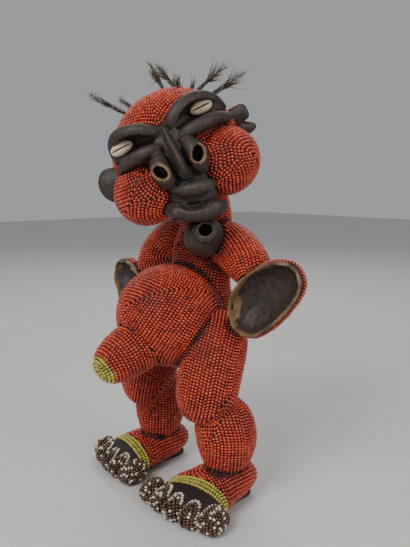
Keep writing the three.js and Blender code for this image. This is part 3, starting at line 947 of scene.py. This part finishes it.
def carved_part(area):
    """Samples of one part of the carving.

    The wood under the beads lies a little below their centres.  The bare forms are joined to it,
    the hollows and palms are cut from it, and fine noise roughens what shows.
    """
    block = Block(*AREAS[area])
    for name, lobes in BEADED.items():
        if name.startswith("toe"):
            continue
        for number, lobe in enumerate(lobes):
            block.add(lobe, -WOOD_DEPTH, 5.0 if number else 0.8)
    for name, lobes in BEADED.items():
        if name.startswith("toe"):
            block.add(lobes[0], -WOOD_DEPTH, 0.8)
    for lobe in SOLES:
        block.add(lobe, 0.0, 0.5)
    for lobe in CARVED:
        block.add(lobe, 0.0, 1.4)
    for side in PALMS:
        if area != side:
            continue
        hand, palm = BEADED[f"hand_{side}"][0], PALMS[side]
        cut, points = block.window(hand, 6.0)
        here = block.value[cut]
        lumps = 0.9 * hash_noise(points, 7.0, 9) + 0.5 * hash_noise(points, 3.2, 10)
        rim = np.maximum(hand.reach(points, 0.1) - lumps, palm.reach(points) - 3.0 + 0.5 * lumps)
        block.value[cut] = join(here, rim.reshape(here.shape), 1.0)
        cut, points = block.window(palm, 6.0)
        here = block.value[cut]
        bowl = palm.reach(points) + palm_grooves(side, points) + 0.4 * hash_noise(points, 4.0, 3)
        block.value[cut] = -join(-here, bowl.reshape(here.shape), 1.2)
    for lobe in HOLLOWS:
        block.cut(lobe, 1.0)
    grid = np.stack(np.meshgrid(*[
        block.low[i] + block.step * np.arange(block.shape[i]) for i in range(3)
    ], indexing="ij"), axis=-1)
    near = np.abs(block.value) < 3
    points = grid[near]
    rough = 0.16 * hash_noise(points, 3.4, 11) + 0.32 * hash_noise(points, 9.0, 12)
    rough[wood_reach(points) > 3] = 0
    block.value[near] += rough
    flat = grid.reshape(-1, 3)
    outside = np.maximum(part_of_body(area, flat), -flat[:, 2]).reshape(block.shape)
    block.value = np.maximum(block.value, outside)
    return block


def carving_mesh():
    """The four parts of the carving as closed quads, and how worn, hollow and bare each corner is.

    Worn is how much thinner than flat the wood is just below the corner, and hollow how much of
    the space just above it is shut in.
    """
    verts, quads, worn, shut = [], [], [], []
    total = 0
    for area in AREAS:
        block = carved_part(area)
        spots, faces = block.surface()
        outs = block.normal(spots, block.step)
        worn.append(np.clip((2.4 + block.at(spots - outs * 2.4)) / 2.4, 0, 1))
        shut.append(np.clip((4.0 - block.at(spots + outs * 4.0)) / 4.0, 0, 1))
        verts.append(spots)
        quads.append(faces + total)
        total += len(spots)
    return np.vstack(verts), np.vstack(quads), np.concatenate(worn), np.concatenate(shut)


def thin_out(piece, share):
    """Collapses edges until that share of the triangles is left, keeping the shape."""
    thin = piece.modifiers.new("Thin out", "DECIMATE")
    thin.ratio = share
    graph = bpy.context.evaluated_depsgraph_get()
    mesh = bpy.data.meshes.new_from_object(piece.evaluated_get(graph))
    piece.modifiers.clear()
    old = piece.data
    piece.data = mesh
    bpy.data.meshes.remove(old)
    mesh.name = piece.name
    mesh.shade_smooth()


# ---- shells and fibre ----


def shell_mesh(axis):
    """A cowrie lying along its axis, slit along the front.

    Along the shell u runs from -1 to 1 and the half width is (1 - |u|^2.2)^(1/2.2), a little
    fuller at one end.  Round it the angle runs from the front; the slit is a narrow well at angle
    0, and its lips carry cosine teeth that fade with the angle.
    """
    start, end = (np.asarray(p, float) @ HEAD_TURN + HEAD_CENTRE + PLACE for p in axis)
    middle = (start + end) / 2
    along = unit(end - start)
    front = -HEAD_BACK
    front = unit(front - along * (front @ along))
    side = np.cross(along, front)
    length = np.linalg.norm(end - start)
    rows, cols = 72, 64
    u = -np.cos(np.linspace(0.03, math.pi - 0.03, rows))[:, None]
    angle = (np.arange(cols) / cols * 2 * math.pi)[None, :]
    turn = np.angle(np.exp(1j * angle))
    width = (1 - np.abs(u) ** 2.2) ** (1 / 2.2) * (1 + 0.10 * u)
    well = np.exp(-(turn / (0.16 + 0.05 * np.abs(u))) ** 2) * np.clip(1.15 - np.abs(u) ** 4, 0, 1)
    teeth = np.cos(2 * math.pi * u * length / 2 / 1.25) * np.exp(-((np.abs(turn) - 0.42) / 0.24) ** 2)
    flat = 1 - 0.12 * np.exp(-(turn / 0.7) ** 2)
    reach = width * (flat - 0.50 * well) + 0.045 * teeth * width
    y = 5.7 * reach * np.cos(turn)
    z = 5.5 * reach * np.sin(turn)
    x = u * length / 2 * np.ones_like(turn)
    verts = (middle + x[..., None] * along + y[..., None] * front + z[..., None] * side).reshape(-1, 3)
    ends = np.array([middle - along * length * 0.5, middle + along * length * 0.5])
    i, j = np.meshgrid(np.arange(rows - 1), np.arange(cols), indexing="ij")
    k = (j + 1) % cols
    wall = np.stack([i * cols + j, i * cols + k, (i + 1) * cols + k, (i + 1) * cols + j], axis=-1).reshape(-1, 4)
    ring = np.arange(cols)
    turned = (ring + 1) % cols
    base = len(verts)
    first = np.stack([turned, ring, np.full(cols, base)], axis=1)
    last = (rows - 1) * cols + np.stack([ring, turned], axis=1)
    last = np.column_stack([last, np.full(cols, base + 1)])
    tris = np.vstack([triangles_of(wall), first, last])
    # slit weights the painted shade that the shell finish lays along the well
    slit = np.concatenate([(well * np.ones_like(u)).ravel(), [0, 0]])
    return np.vstack([verts, ends]), tris, slit


def strands(starts, runs, lengths, thick, droop, rng, sides=4, steps=7):
    """Thin tapered stems: a round section carried along start + run t + bend t^2.

    The section shrinks from thick to a fifth of it, and each stem bends its own way by the given
    droop, in parts of its length.
    """
    count = len(starts)
    t = np.linspace(0, 1, steps)[None, :, None]
    bends = rng.standard_normal((count, 3)) * (lengths * droop)[:, None]
    ripple = rng.standard_normal((count, 3)) * (lengths * droop * 0.35)[:, None]
    path = (
        starts[:, None] + runs[:, None] * lengths[:, None, None] * t
        + bends[:, None] * t ** 2 + ripple[:, None] * np.sin(9 * t)
    )
    ahead = unit(np.gradient(path, axis=1))
    side = unit(np.cross(ahead, [0.31, 0.17, 0.93]))
    rise = np.cross(ahead, side)
    angle = np.arange(sides) / sides * 2 * math.pi
    radius = thick[:, None, None, None] * (1 - 0.8 * t[..., None] ** 1.5)
    verts = path[:, :, None] + radius * (
        side[:, :, None] * np.cos(angle)[None, None, :, None]
        + rise[:, :, None] * np.sin(angle)[None, None, :, None]
    )
    verts = verts.reshape(count, -1, 3)
    i, j = np.meshgrid(np.arange(steps - 1), np.arange(sides), indexing="ij")
    k = (j + 1) % sides
    wall = np.stack([i * sides + j, i * sides + k, (i + 1) * sides + k, (i + 1) * sides + j], axis=-1)
    tris = triangles_of(wall.reshape(-1, 4))
    fan = np.arange(1, sides - 1)
    low = np.stack([np.zeros_like(fan), fan + 1, fan], axis=1)
    high = (steps - 1) * sides + np.stack([np.zeros_like(fan), fan, fan + 1], axis=1)
    tris = np.vstack([tris, low, high])
    faces = (tris[None] + verts.shape[1] * np.arange(count)[:, None, None]).reshape(-1, 3)
    tone = np.repeat(rng.random(count), verts.shape[1])
    far = np.tile(np.repeat(np.linspace(0, 1, steps), sides), count)
    return verts.reshape(-1, 3), faces, tone, far


def tuft_mesh(root, tip, thin, thick, rng):
    """One tuft: a few stems side by side, finer hairs that leave them, and a frayed end."""
    root = np.asarray(root, float) + PLACE
    tip = np.asarray(tip, float) + PLACE
    run = tip - root
    length = np.linalg.norm(run)
    run = run / length
    start = root - run * 3

    stems = 7
    spread = rng.standard_normal((stems, 3)) * thin * 0.42
    parts = [strands(
        start + spread, unit(run + rng.standard_normal((stems, 3)) * 0.035),
        length * rng.uniform(0.82, 1.0, stems) + 3, rng.uniform(0.42, 0.62, stems) * min(thin / 1.8, 1.3),
        0.03, rng, 5, 9)]
    hairs = int(3.2 * length)
    along = rng.uniform(0.12, 0.98, hairs)
    starts = start + run * (along * (length + 2))[:, None] + rng.standard_normal((hairs, 3)) * thin * 0.4
    away = unit(run * 1.25 + rng.standard_normal((hairs, 3)) * 0.55)
    parts.append(strands(
        starts, away, rng.uniform(2.5, 8.0, hairs) * (0.6 + 0.5 * along),
        rng.uniform(0.13, 0.24, hairs), 0.12, rng, 3, 5))
    frayed = int(9 * thick)
    starts = start + run * (length * 0.62) + rng.standard_normal((frayed, 3)) * thin * 0.5
    away = unit(run + rng.standard_normal((frayed, 3)) * 0.09 * thick)
    parts.append(strands(
        starts, away, length * rng.uniform(0.28, 0.45, frayed), rng.uniform(0.2, 0.36, frayed),
        0.05, rng, 4, 6))
    verts, faces, tone, far, total = [], [], [], [], 0
    for v, f, a, b in parts:
        verts.append(v)
        faces.append(f + total)
        tone.append(a)
        far.append(b)
        total += len(v)
    return np.vstack(verts), np.vstack(faces), np.concatenate(tone), np.concatenate(far)


# ---- finishes ----


class Finish:
    """A material and short calls for its nodes."""

    def __init__(self, name, **sockets):
        self.material = bpy.data.materials.new(name)
        self.material.use_nodes = True
        self.tree = self.material.node_tree
        self.shader = self.tree.nodes["Principled BSDF"]
        for key, value in sockets.items():
            self.shader.inputs[key.replace("_", " ")].default_value = value
        self.place = self.node("ShaderNodeTexCoord").outputs["Object"]

    def node(self, kind, **settings):
        node = self.tree.nodes.new(kind)
        for key, value in settings.items():
            setattr(node, key, value)
        return node

    def feed(self, socket, value):
        if isinstance(value, bpy.types.NodeSocket):
            self.tree.links.new(value, socket)
        else:
            socket.default_value = value

    def into(self, key, value):
        self.feed(self.shader.inputs[key], value)

    def number(self, name):
        """A number kept on the mesh."""
        return self.node("ShaderNodeAttribute", attribute_name=name).outputs["Fac"]

    def math(self, operation, a, b=0.0):
        node = self.node("ShaderNodeMath", operation=operation)
        self.feed(node.inputs[0], a)
        self.feed(node.inputs[1], b)
        return node.outputs[0]

    def span(self, value, low, high, first=0.0, last=1.0):
        """Value taken from low..high to first..last, and held at the ends."""
        node = self.node("ShaderNodeMapRange", interpolation_type="SMOOTHSTEP")
        for socket, item in zip(node.inputs, (value, low, high, first, last)):
            self.feed(socket, item)
        return node.outputs[0]

    def noise(self, scale, detail=3.0, roughness=0.55):
        node = self.node("ShaderNodeTexNoise")
        self.feed(node.inputs["Vector"], self.place)
        node.inputs["Scale"].default_value = scale
        node.inputs["Detail"].default_value = detail
        node.inputs["Roughness"].default_value = roughness
        return node.outputs["Fac"]

    def mix(self, share, a, b, blend="MIX"):
        node = self.node("ShaderNodeMix", data_type="RGBA", blend_type=blend)
        self.feed(node.inputs[0], share)
        self.feed(node.inputs[6], a)
        self.feed(node.inputs[7], b)
        return node.outputs[2]

    def relief(self, height, depth, strength=1.0):
        node = self.node("ShaderNodeBump")
        node.inputs["Strength"].default_value = strength
        node.inputs["Distance"].default_value = depth
        self.feed(node.inputs["Height"], height)
        self.into("Normal", node.outputs[0])


def shade(colour, factor):
    """A colour with alpha, its brightness scaled."""
    return (*[channel * factor for channel in colour[:3]], 1.0)


def bead_finish(name, colour, warm, deep, gloss=0.24):
    """Glass beads of one colour: each its own tint, some deeper, darkened towards near black in the creases by
    painted shade mixed with old soiling.
    """
    finish = Finish(name, Roughness=gloss, Coat_Weight=0.25, Coat_Roughness=0.12)
    tint = finish.number("tint")
    body = finish.mix(finish.span(tint, 0.0, 1.0), colour, warm)
    body = finish.mix(finish.span(tint, 0.86, 0.97, 0.0, 0.75), body, deep)
    patches = finish.noise(26.0, 2.0)
    body = finish.mix(finish.span(patches, 0.42, 0.72, 0.0, 0.45), body, deep)
    grime = finish.math("ADD", finish.number("grime"), finish.span(finish.noise(55.0, 3.0), 0.4, 0.75, -0.15, 0.25))
    dirt_and_shade = finish.span(grime, 0.30, 1.15)
    # painted shade with soiling: beads deep in creases, near bare wood and near the floor are mixed towards near
    # black
    body = finish.mix(finish.math("MULTIPLY", dirt_and_shade, 0.93), body, (0.010, 0.006, 0.005, 1))
    finish.into("Base Color", body)
    finish.into("Roughness", finish.span(dirt_and_shade, 0.1, 0.9, gloss, 0.62))
    return finish.material


def toe_finish(name, pale, amber):
    """Toe beads: cream in the outer ring and here and there, the rest clear brown, darkened in creases and near the
    floor by painted shade mixed with soiling.
    """
    finish = Finish(name, Roughness=0.22, Coat_Weight=0.3, Coat_Roughness=0.1)
    tint = finish.number("tint")
    ring = finish.number("ring")
    outer = finish.math("LESS_THAN", ring, 0.5)
    odd = finish.math("GREATER_THAN", tint, 0.72)
    cream = finish.math("MAXIMUM", finish.math("MULTIPLY", outer, finish.math("GREATER_THAN", tint, 0.2)), odd)
    glass = finish.mix(tint, amber, shade(amber, 0.45))
    body = finish.mix(cream, glass, finish.mix(finish.span(tint, 0.2, 1.0), shade(pale, 0.72), pale))
    dirt_and_shade = finish.span(finish.number("grime"), 0.75, 1.5)
    # painted shade with soiling: toe beads deep in creases and near the floor go towards near black
    body = finish.mix(finish.math("MULTIPLY", dirt_and_shade, 0.8), body, (0.012, 0.008, 0.006, 1))
    finish.into("Base Color", body)
    return finish.material


def wood_finish(name, colour, ochre):
    """Dark handled wood: ochre where it is worn, painted shade going to near black in hollows, with streaks of
    grain.
    """
    finish = Finish(name, Roughness=0.5)
    stretch = finish.node("ShaderNodeMapping")
    finish.feed(stretch.inputs["Vector"], finish.place)
    stretch.inputs["Rotation"].default_value = (0.0, 0.46, 0.2)
    stretch.inputs["Scale"].default_value = (1.0, 1.0, 0.22)
    grain = finish.node("ShaderNodeTexNoise")
    finish.feed(grain.inputs["Vector"], stretch.outputs[0])
    grain.inputs["Scale"].default_value = 420.0
    grain.inputs["Detail"].default_value = 4.0
    streak = grain.outputs["Fac"]
    blotch = finish.noise(70.0, 4.0, 0.6)
    worn = finish.math("ADD", finish.number("worn"), finish.span(blotch, 0.35, 0.7, -0.22, 0.26))
    body = finish.mix(finish.span(streak, 0.35, 0.7), shade(colour, 0.62), shade(colour, 1.35))
    body = finish.mix(finish.span(worn, 0.42, 0.95, 0.0, 0.8), body, ochre)
    # painted shade: the wood goes near black where the space just above it is shut in
    body = finish.mix(finish.span(finish.number("hollow"), 0.30, 0.95, 0.0, 0.94), body, (0.006, 0.005, 0.004, 1))
    under = (0.012, 0.006, 0.005, 1)
    body = finish.mix(finish.number("bare"), under, body)
    finish.into("Base Color", body)
    finish.into("Roughness", finish.span(worn, 0.2, 0.9, 0.58, 0.36))
    height = finish.math("ADD", streak, finish.math("MULTIPLY", finish.noise(900.0, 2.0), 0.5))
    finish.relief(height, 0.0004, 0.7)
    return finish.material


def shell_finish(name, colour):
    """Cream cowrie shell, with painted near-black shade along the slit, mottled on its back."""
    finish = Finish(name, Roughness=0.3, Coat_Weight=0.2, Coat_Roughness=0.15)
    body = finish.mix(finish.span(finish.noise(160.0, 3.0), 0.4, 0.75, 0.0, 0.6), colour, shade(colour, 0.6))
    # painted shade: the well of the slit goes near black
    body = finish.mix(finish.span(finish.number("slit"), 0.25, 0.8), body, (0.02, 0.012, 0.008, 1))
    finish.into("Base Color", body)
    finish.relief(finish.noise(600.0, 2.0), 0.0002, 0.4)
    return finish.material


def fibre_finish(name, colour, pale):
    """Dry plant fibre: every strand its own brown, paler towards its end."""
    finish = Finish(name, Roughness=0.7)
    tone = finish.number("tint")
    body = finish.mix(tone, shade(colour, 0.45), shade(colour, 1.4))
    body = finish.mix(finish.span(finish.number("far"), 0.45, 1.0, 0.0, 0.55), body, pale)
    body = finish.mix(finish.span(finish.noise(500.0, 2.0), 0.35, 0.7, 0.0, 0.5), body, shade(colour, 0.5))
    finish.into("Base Color", body)
    finish.relief(finish.noise(1500.0, 2.0), 0.0002, 0.5)
    return finish.material


# ---- settings and operators ----


class FigureSizes(bpy.types.PropertyGroup):
    """Sizes of the beads."""

    row_pitch: FloatProperty(
        name="Row pitch", description="Distance between rows of beads", default=3.15 * MM,
        min=2.6 * MM, max=6 * MM, unit="LENGTH")
    bead_pitch: FloatProperty(
        name="Bead pitch", description="Distance between beads in a row", default=2.72 * MM,
        min=2 * MM, max=6 * MM, unit="LENGTH")
    bead_length: FloatProperty(
        name="Bead length", description="Length of a bead along its row", default=2.55 * MM,
        min=1 * MM, max=6 * MM, unit="LENGTH")
    bead_width: FloatProperty(
        name="Bead width", description="Width of a bead across its row", default=3.0 * MM,
        min=1 * MM, max=6 * MM, unit="LENGTH")
    seed: IntProperty(
        name="Seed", description="Start of every random draw", default=SEED, min=0)


def colour_property(name, description, default):
    return FloatVectorProperty(
        name=name, description=description, default=(*default, 1.0), subtype="COLOR", size=4, min=0, max=1)


class FigureColours(bpy.types.PropertyGroup):
    """Colours of the finishes."""

    red: colour_property("Red", "Most of the red beads", (0.42, 0.030, 0.013))
    warm_red: colour_property("Warm red", "The brightest red beads", (0.60, 0.070, 0.022))
    deep_red: colour_property("Deep red", "Old, dull red beads", (0.13, 0.012, 0.008))
    yellow: colour_property("Yellow", "Beads of the bands and the tip", (0.42, 0.36, 0.055))
    cream: colour_property("Cream", "Pale beads of the toes", (0.66, 0.58, 0.45))
    amber: colour_property("Amber", "Clear brown beads of the toes", (0.12, 0.055, 0.03))
    wood: colour_property("Wood", "Bare carving", (0.040, 0.026, 0.019))
    ochre: colour_property("Ochre", "Worn edges of the carving", (0.26, 0.155, 0.065))
    shell: colour_property("Shell", "Cowrie shells", (0.72, 0.58, 0.40))
    fibre: colour_property("Fibre", "Tufts", (0.085, 0.052, 0.030))
    pale_fibre: colour_property("Pale fibre", "Ends of the tufts", (0.30, 0.21, 0.12))


FIELDS_OF = {
    "head": ("cap", "cheek_left", "cheek_right"),
    "body": ("neck", "trunk", "belly", "member"),
    "arms": ("arm_left", "arm_right", "hand_left", "hand_right"),
    "leg_left": ("leg_left", "foot_left"),
    "leg_right": ("leg_right", "foot_right"),
}


def laid(name, sizes):
    """Rows over one field at the pitches of the settings."""
    return rows_of(name, round(sizes.row_pitch / MM, 4), round(sizes.bead_pitch / MM, 4))


def in_tip(beads):
    """Which beads of the member belong to its yellow tip."""
    run = unit(TIP_AXIS[1] - TIP_AXIS[0])
    return (beads.spots - PLACE - TIP_AXIS[1]) @ run > -TIP_LENGTH


def set_beads(name, beads, finish, nodes, sizes, salt):
    rng = np.random.default_rng(sizes.seed + salt)
    piece = bead_piece(name, beads, sizes.bead_length / MM, sizes.bead_width / MM, rng, finish)
    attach(piece, "root")
    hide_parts(*nodes)
    return piece


class FIGURE_OT_carving(bpy.types.Operator):
    """Carve the wooden figure: what lies under the beads, the face, ears, chin knob and hands"""

    bl_idname = "figure.carving"
    bl_label = "Wooden carving"

    def execute(self, context):
        colours = context.scene.figure_colours
        verts, quads, worn, hollow = carving_mesh()
        bare = np.clip((2.2 - wood_reach(verts)) / 1.2, 0, 1)
        piece = make_mesh("wood_carving", verts, quads, worn=worn, hollow=hollow, bare=bare)
        triangles = 2 * len(quads)
        thin_out(piece, min(1.0, 165000 / triangles))
        piece.data.materials.append(wood_finish("Handled wood", colours.wood, colours.ochre))
        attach(piece, "root")
        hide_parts("carved_figure")
        return {"FINISHED"}


class FIGURE_OT_red_beads(bpy.types.Operator):
    """String the red beads over the head, body, arms and legs"""

    bl_idname = "figure.red_beads"
    bl_label = "Red beads"

    def execute(self, context):
        sizes, colours = context.scene.figure_sizes, context.scene.figure_colours
        finish = bead_finish("Red glass", colours.red, colours.warm_red, colours.deep_red)
        for salt, (part, names) in enumerate(FIELDS_OF.items()):
            several = [laid(name, sizes) for name in names]
            if part == "body":
                several[-1] = several[-1].pick(~in_tip(several[-1]))
            set_beads(f"red_beads_{part}", Beads.merged(several), finish,
                      ["red_bead_cover"], sizes, salt)
        return {"FINISHED"}


class FIGURE_OT_yellow_beads(bpy.types.Operator):
    """String the yellow beads of the tip and of the bands across the feet"""

    bl_idname = "figure.yellow_beads"
    bl_label = "Yellow beads"

    def execute(self, context):
        sizes, colours = context.scene.figure_sizes, context.scene.figure_colours
        finish = bead_finish("Yellow glass", colours.yellow, shade(colours.yellow, 1.35),
                             shade(colours.yellow, 0.45))
        member = laid("member", sizes)
        set_beads("yellow_beads_tip", member.pick(in_tip(member)), finish,
                  ["yellow_bead_tip"], sizes, 11)
        for salt, side in enumerate(BANDS, 12):
            rows = band_rows(side, round(sizes.row_pitch / MM, 4), round(sizes.bead_pitch / MM, 4))
            set_beads(f"yellow_beads_band_{side}", rows, finish,
                      [f"yellow_bead_band_{side}"], sizes, salt)
        return {"FINISHED"}


class FIGURE_OT_toe_beads(bpy.types.Operator):
    """String the cream and brown beads of the toes, in rings round each toe"""

    bl_idname = "figure.toe_beads"
    bl_label = "Toe beads"

    def execute(self, context):
        sizes, colours = context.scene.figure_sizes, context.scene.figure_colours
        finish = toe_finish("Pale glass", colours.cream, colours.amber)
        for salt, side in enumerate(TOES, 15):
            beads = Beads.merged([laid(f"toe_{side}_{number}", sizes) for number in range(1, 6)])
            set_beads(f"pale_beads_toes_{side}", beads, finish,
                      [f"toe_bead_cover_{side}"], sizes, salt)
        return {"FINISHED"}


class FIGURE_OT_cowries(bpy.types.Operator):
    """Set the two cowrie shells that stand for the eyes"""

    bl_idname = "figure.cowries"
    bl_label = "Cowrie eyes"

    def execute(self, context):
        finish = shell_finish("Cowrie shell", context.scene.figure_colours.shell)
        for side, axis in COWRIES.items():
            verts, tris, slit = shell_mesh(axis)
            piece = make_mesh(f"cowrie_shell_{side}", verts, tris, slit=slit)
            piece.data.materials.append(finish)
            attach(piece, "root")
            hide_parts(f"cowrie_eye_{side}")
        return {"FINISHED"}


class FIGURE_OT_tufts(bpy.types.Operator):
    """Plant the tufts of stiff fibre on the crown"""

    bl_idname = "figure.tufts"
    bl_label = "Fibre tufts"

    def execute(self, context):
        colours = context.scene.figure_colours
        finish = fibre_finish("Plant fibre", colours.fibre, colours.pale_fibre)
        for number, row in enumerate(TUFTS, 1):
            rng = np.random.default_rng(context.scene.figure_sizes.seed + 40 + number)
            verts, faces, tone, far = tuft_mesh(*row, rng)
            piece = make_mesh(f"tuft_strands_{number}", verts, faces, tint=tone, far=far)
            piece.data.materials.append(finish)
            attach(piece, "root")
            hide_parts(f"fibre_tuft_{number}")
        return {"FINISHED"}


CAMERA_PLACE = np.array([450.9, -335.9, 290.0])
CAMERA_AHEAD = (-0.766, 0.643, -0.1477)
CAMERA_LENS = 40.8


class FIGURE_OT_stage(bpy.types.Operator):
    """Lay the pale floor and set the soft lights and the camera"""

    bl_idname = "figure.stage"
    bl_label = "Floor, light and camera"

    def execute(self, context):
        from mathutils import Vector

        scene = context.scene
        reach = 4000.0
        floor = make_mesh("floor", [[-reach, -reach, 0], [reach, -reach, 0], [reach, reach, 0], [-reach, reach, 0]],
                          [[0, 1, 2, 3]], smooth=False)
        plain = Finish("Pale floor", Roughness=0.7)
        plain.into("Base Color", plain.mix(plain.noise(3.0, 2.0), (0.60, 0.59, 0.57, 1), (0.66, 0.65, 0.63, 1)))
        floor.data.materials.append(plain.material)

        world = bpy.data.worlds.new("Soft room")
        world.use_nodes = True
        world.node_tree.nodes["Background"].inputs["Color"].default_value = (0.80, 0.82, 0.85, 1)
        world.node_tree.nodes["Background"].inputs["Strength"].default_value = 0.45
        scene.world = world

        middle = Vector((0, 0, 0.2))
        for name, place, size, power in (
            ("Key light", (0.35, -1.15, 1.15), 0.7, 16.0),
            ("Side light", (1.3, 0.15, 0.8), 0.9, 7.0),
            ("Back light", (-0.9, 0.8, 1.3), 1.0, 8.0),
        ):
            lamp = bpy.data.lights.new(name, "AREA")
            lamp.energy = power
            lamp.size = size
            holder = bpy.data.objects.new(name, lamp)
            holder.location = place
            holder.rotation_euler = (middle - Vector(place)).to_track_quat("-Z", "Y").to_euler()
            scene.collection.objects.link(holder)

        camera = bpy.data.cameras.new("Camera")
        camera.lens = CAMERA_LENS
        camera.sensor_width = 36.0
        camera.clip_start = 0.01
        holder = bpy.data.objects.new("Camera", camera)
        holder.location = Vector(CAMERA_PLACE * MM)
        holder.rotation_euler = Vector(CAMERA_AHEAD).to_track_quat("-Z", "Y").to_euler()
        scene.collection.objects.link(holder)
        scene.camera = holder
        return {"FINISHED"}


OPERATORS = (
    FIGURE_OT_stage,
    FIGURE_OT_carving,
    FIGURE_OT_red_beads,
    FIGURE_OT_yellow_beads,
    FIGURE_OT_toe_beads,
    FIGURE_OT_cowries,
    FIGURE_OT_tufts,
)


class FIGURE_PT_panel(bpy.types.Panel):
    """Sizes, colours and pieces of the figure"""

    bl_idname = "FIGURE_PT_panel"
    bl_label = "Figure"
    bl_space_type = "VIEW_3D"
    bl_region_type = "UI"
    bl_category = "Figure"

    def draw(self, context):
        layout = self.layout
        for group in (context.scene.figure_sizes, context.scene.figure_colours):
            box = layout.box()
            for key in group.__annotations__:
                box.prop(group, key)
        for operator in OPERATORS:
            layout.operator(operator.bl_idname)


CLASSES = (FigureSizes, FigureColours, *OPERATORS, FIGURE_PT_panel)


def register():
    for item in CLASSES:
        bpy.utils.register_class(item)
    bpy.types.Scene.figure_sizes = PointerProperty(type=FigureSizes)
    bpy.types.Scene.figure_colours = PointerProperty(type=FigureColours)


def unregister():
    del bpy.types.Scene.figure_colours
    del bpy.types.Scene.figure_sizes
    for item in reversed(CLASSES):
        bpy.utils.unregister_class(item)


def main():
    register()
    for operator in OPERATORS:
        group, name = operator.bl_idname.split(".")
        getattr(getattr(bpy.ops, group), name)()


if __name__ == "__main__":
    main()
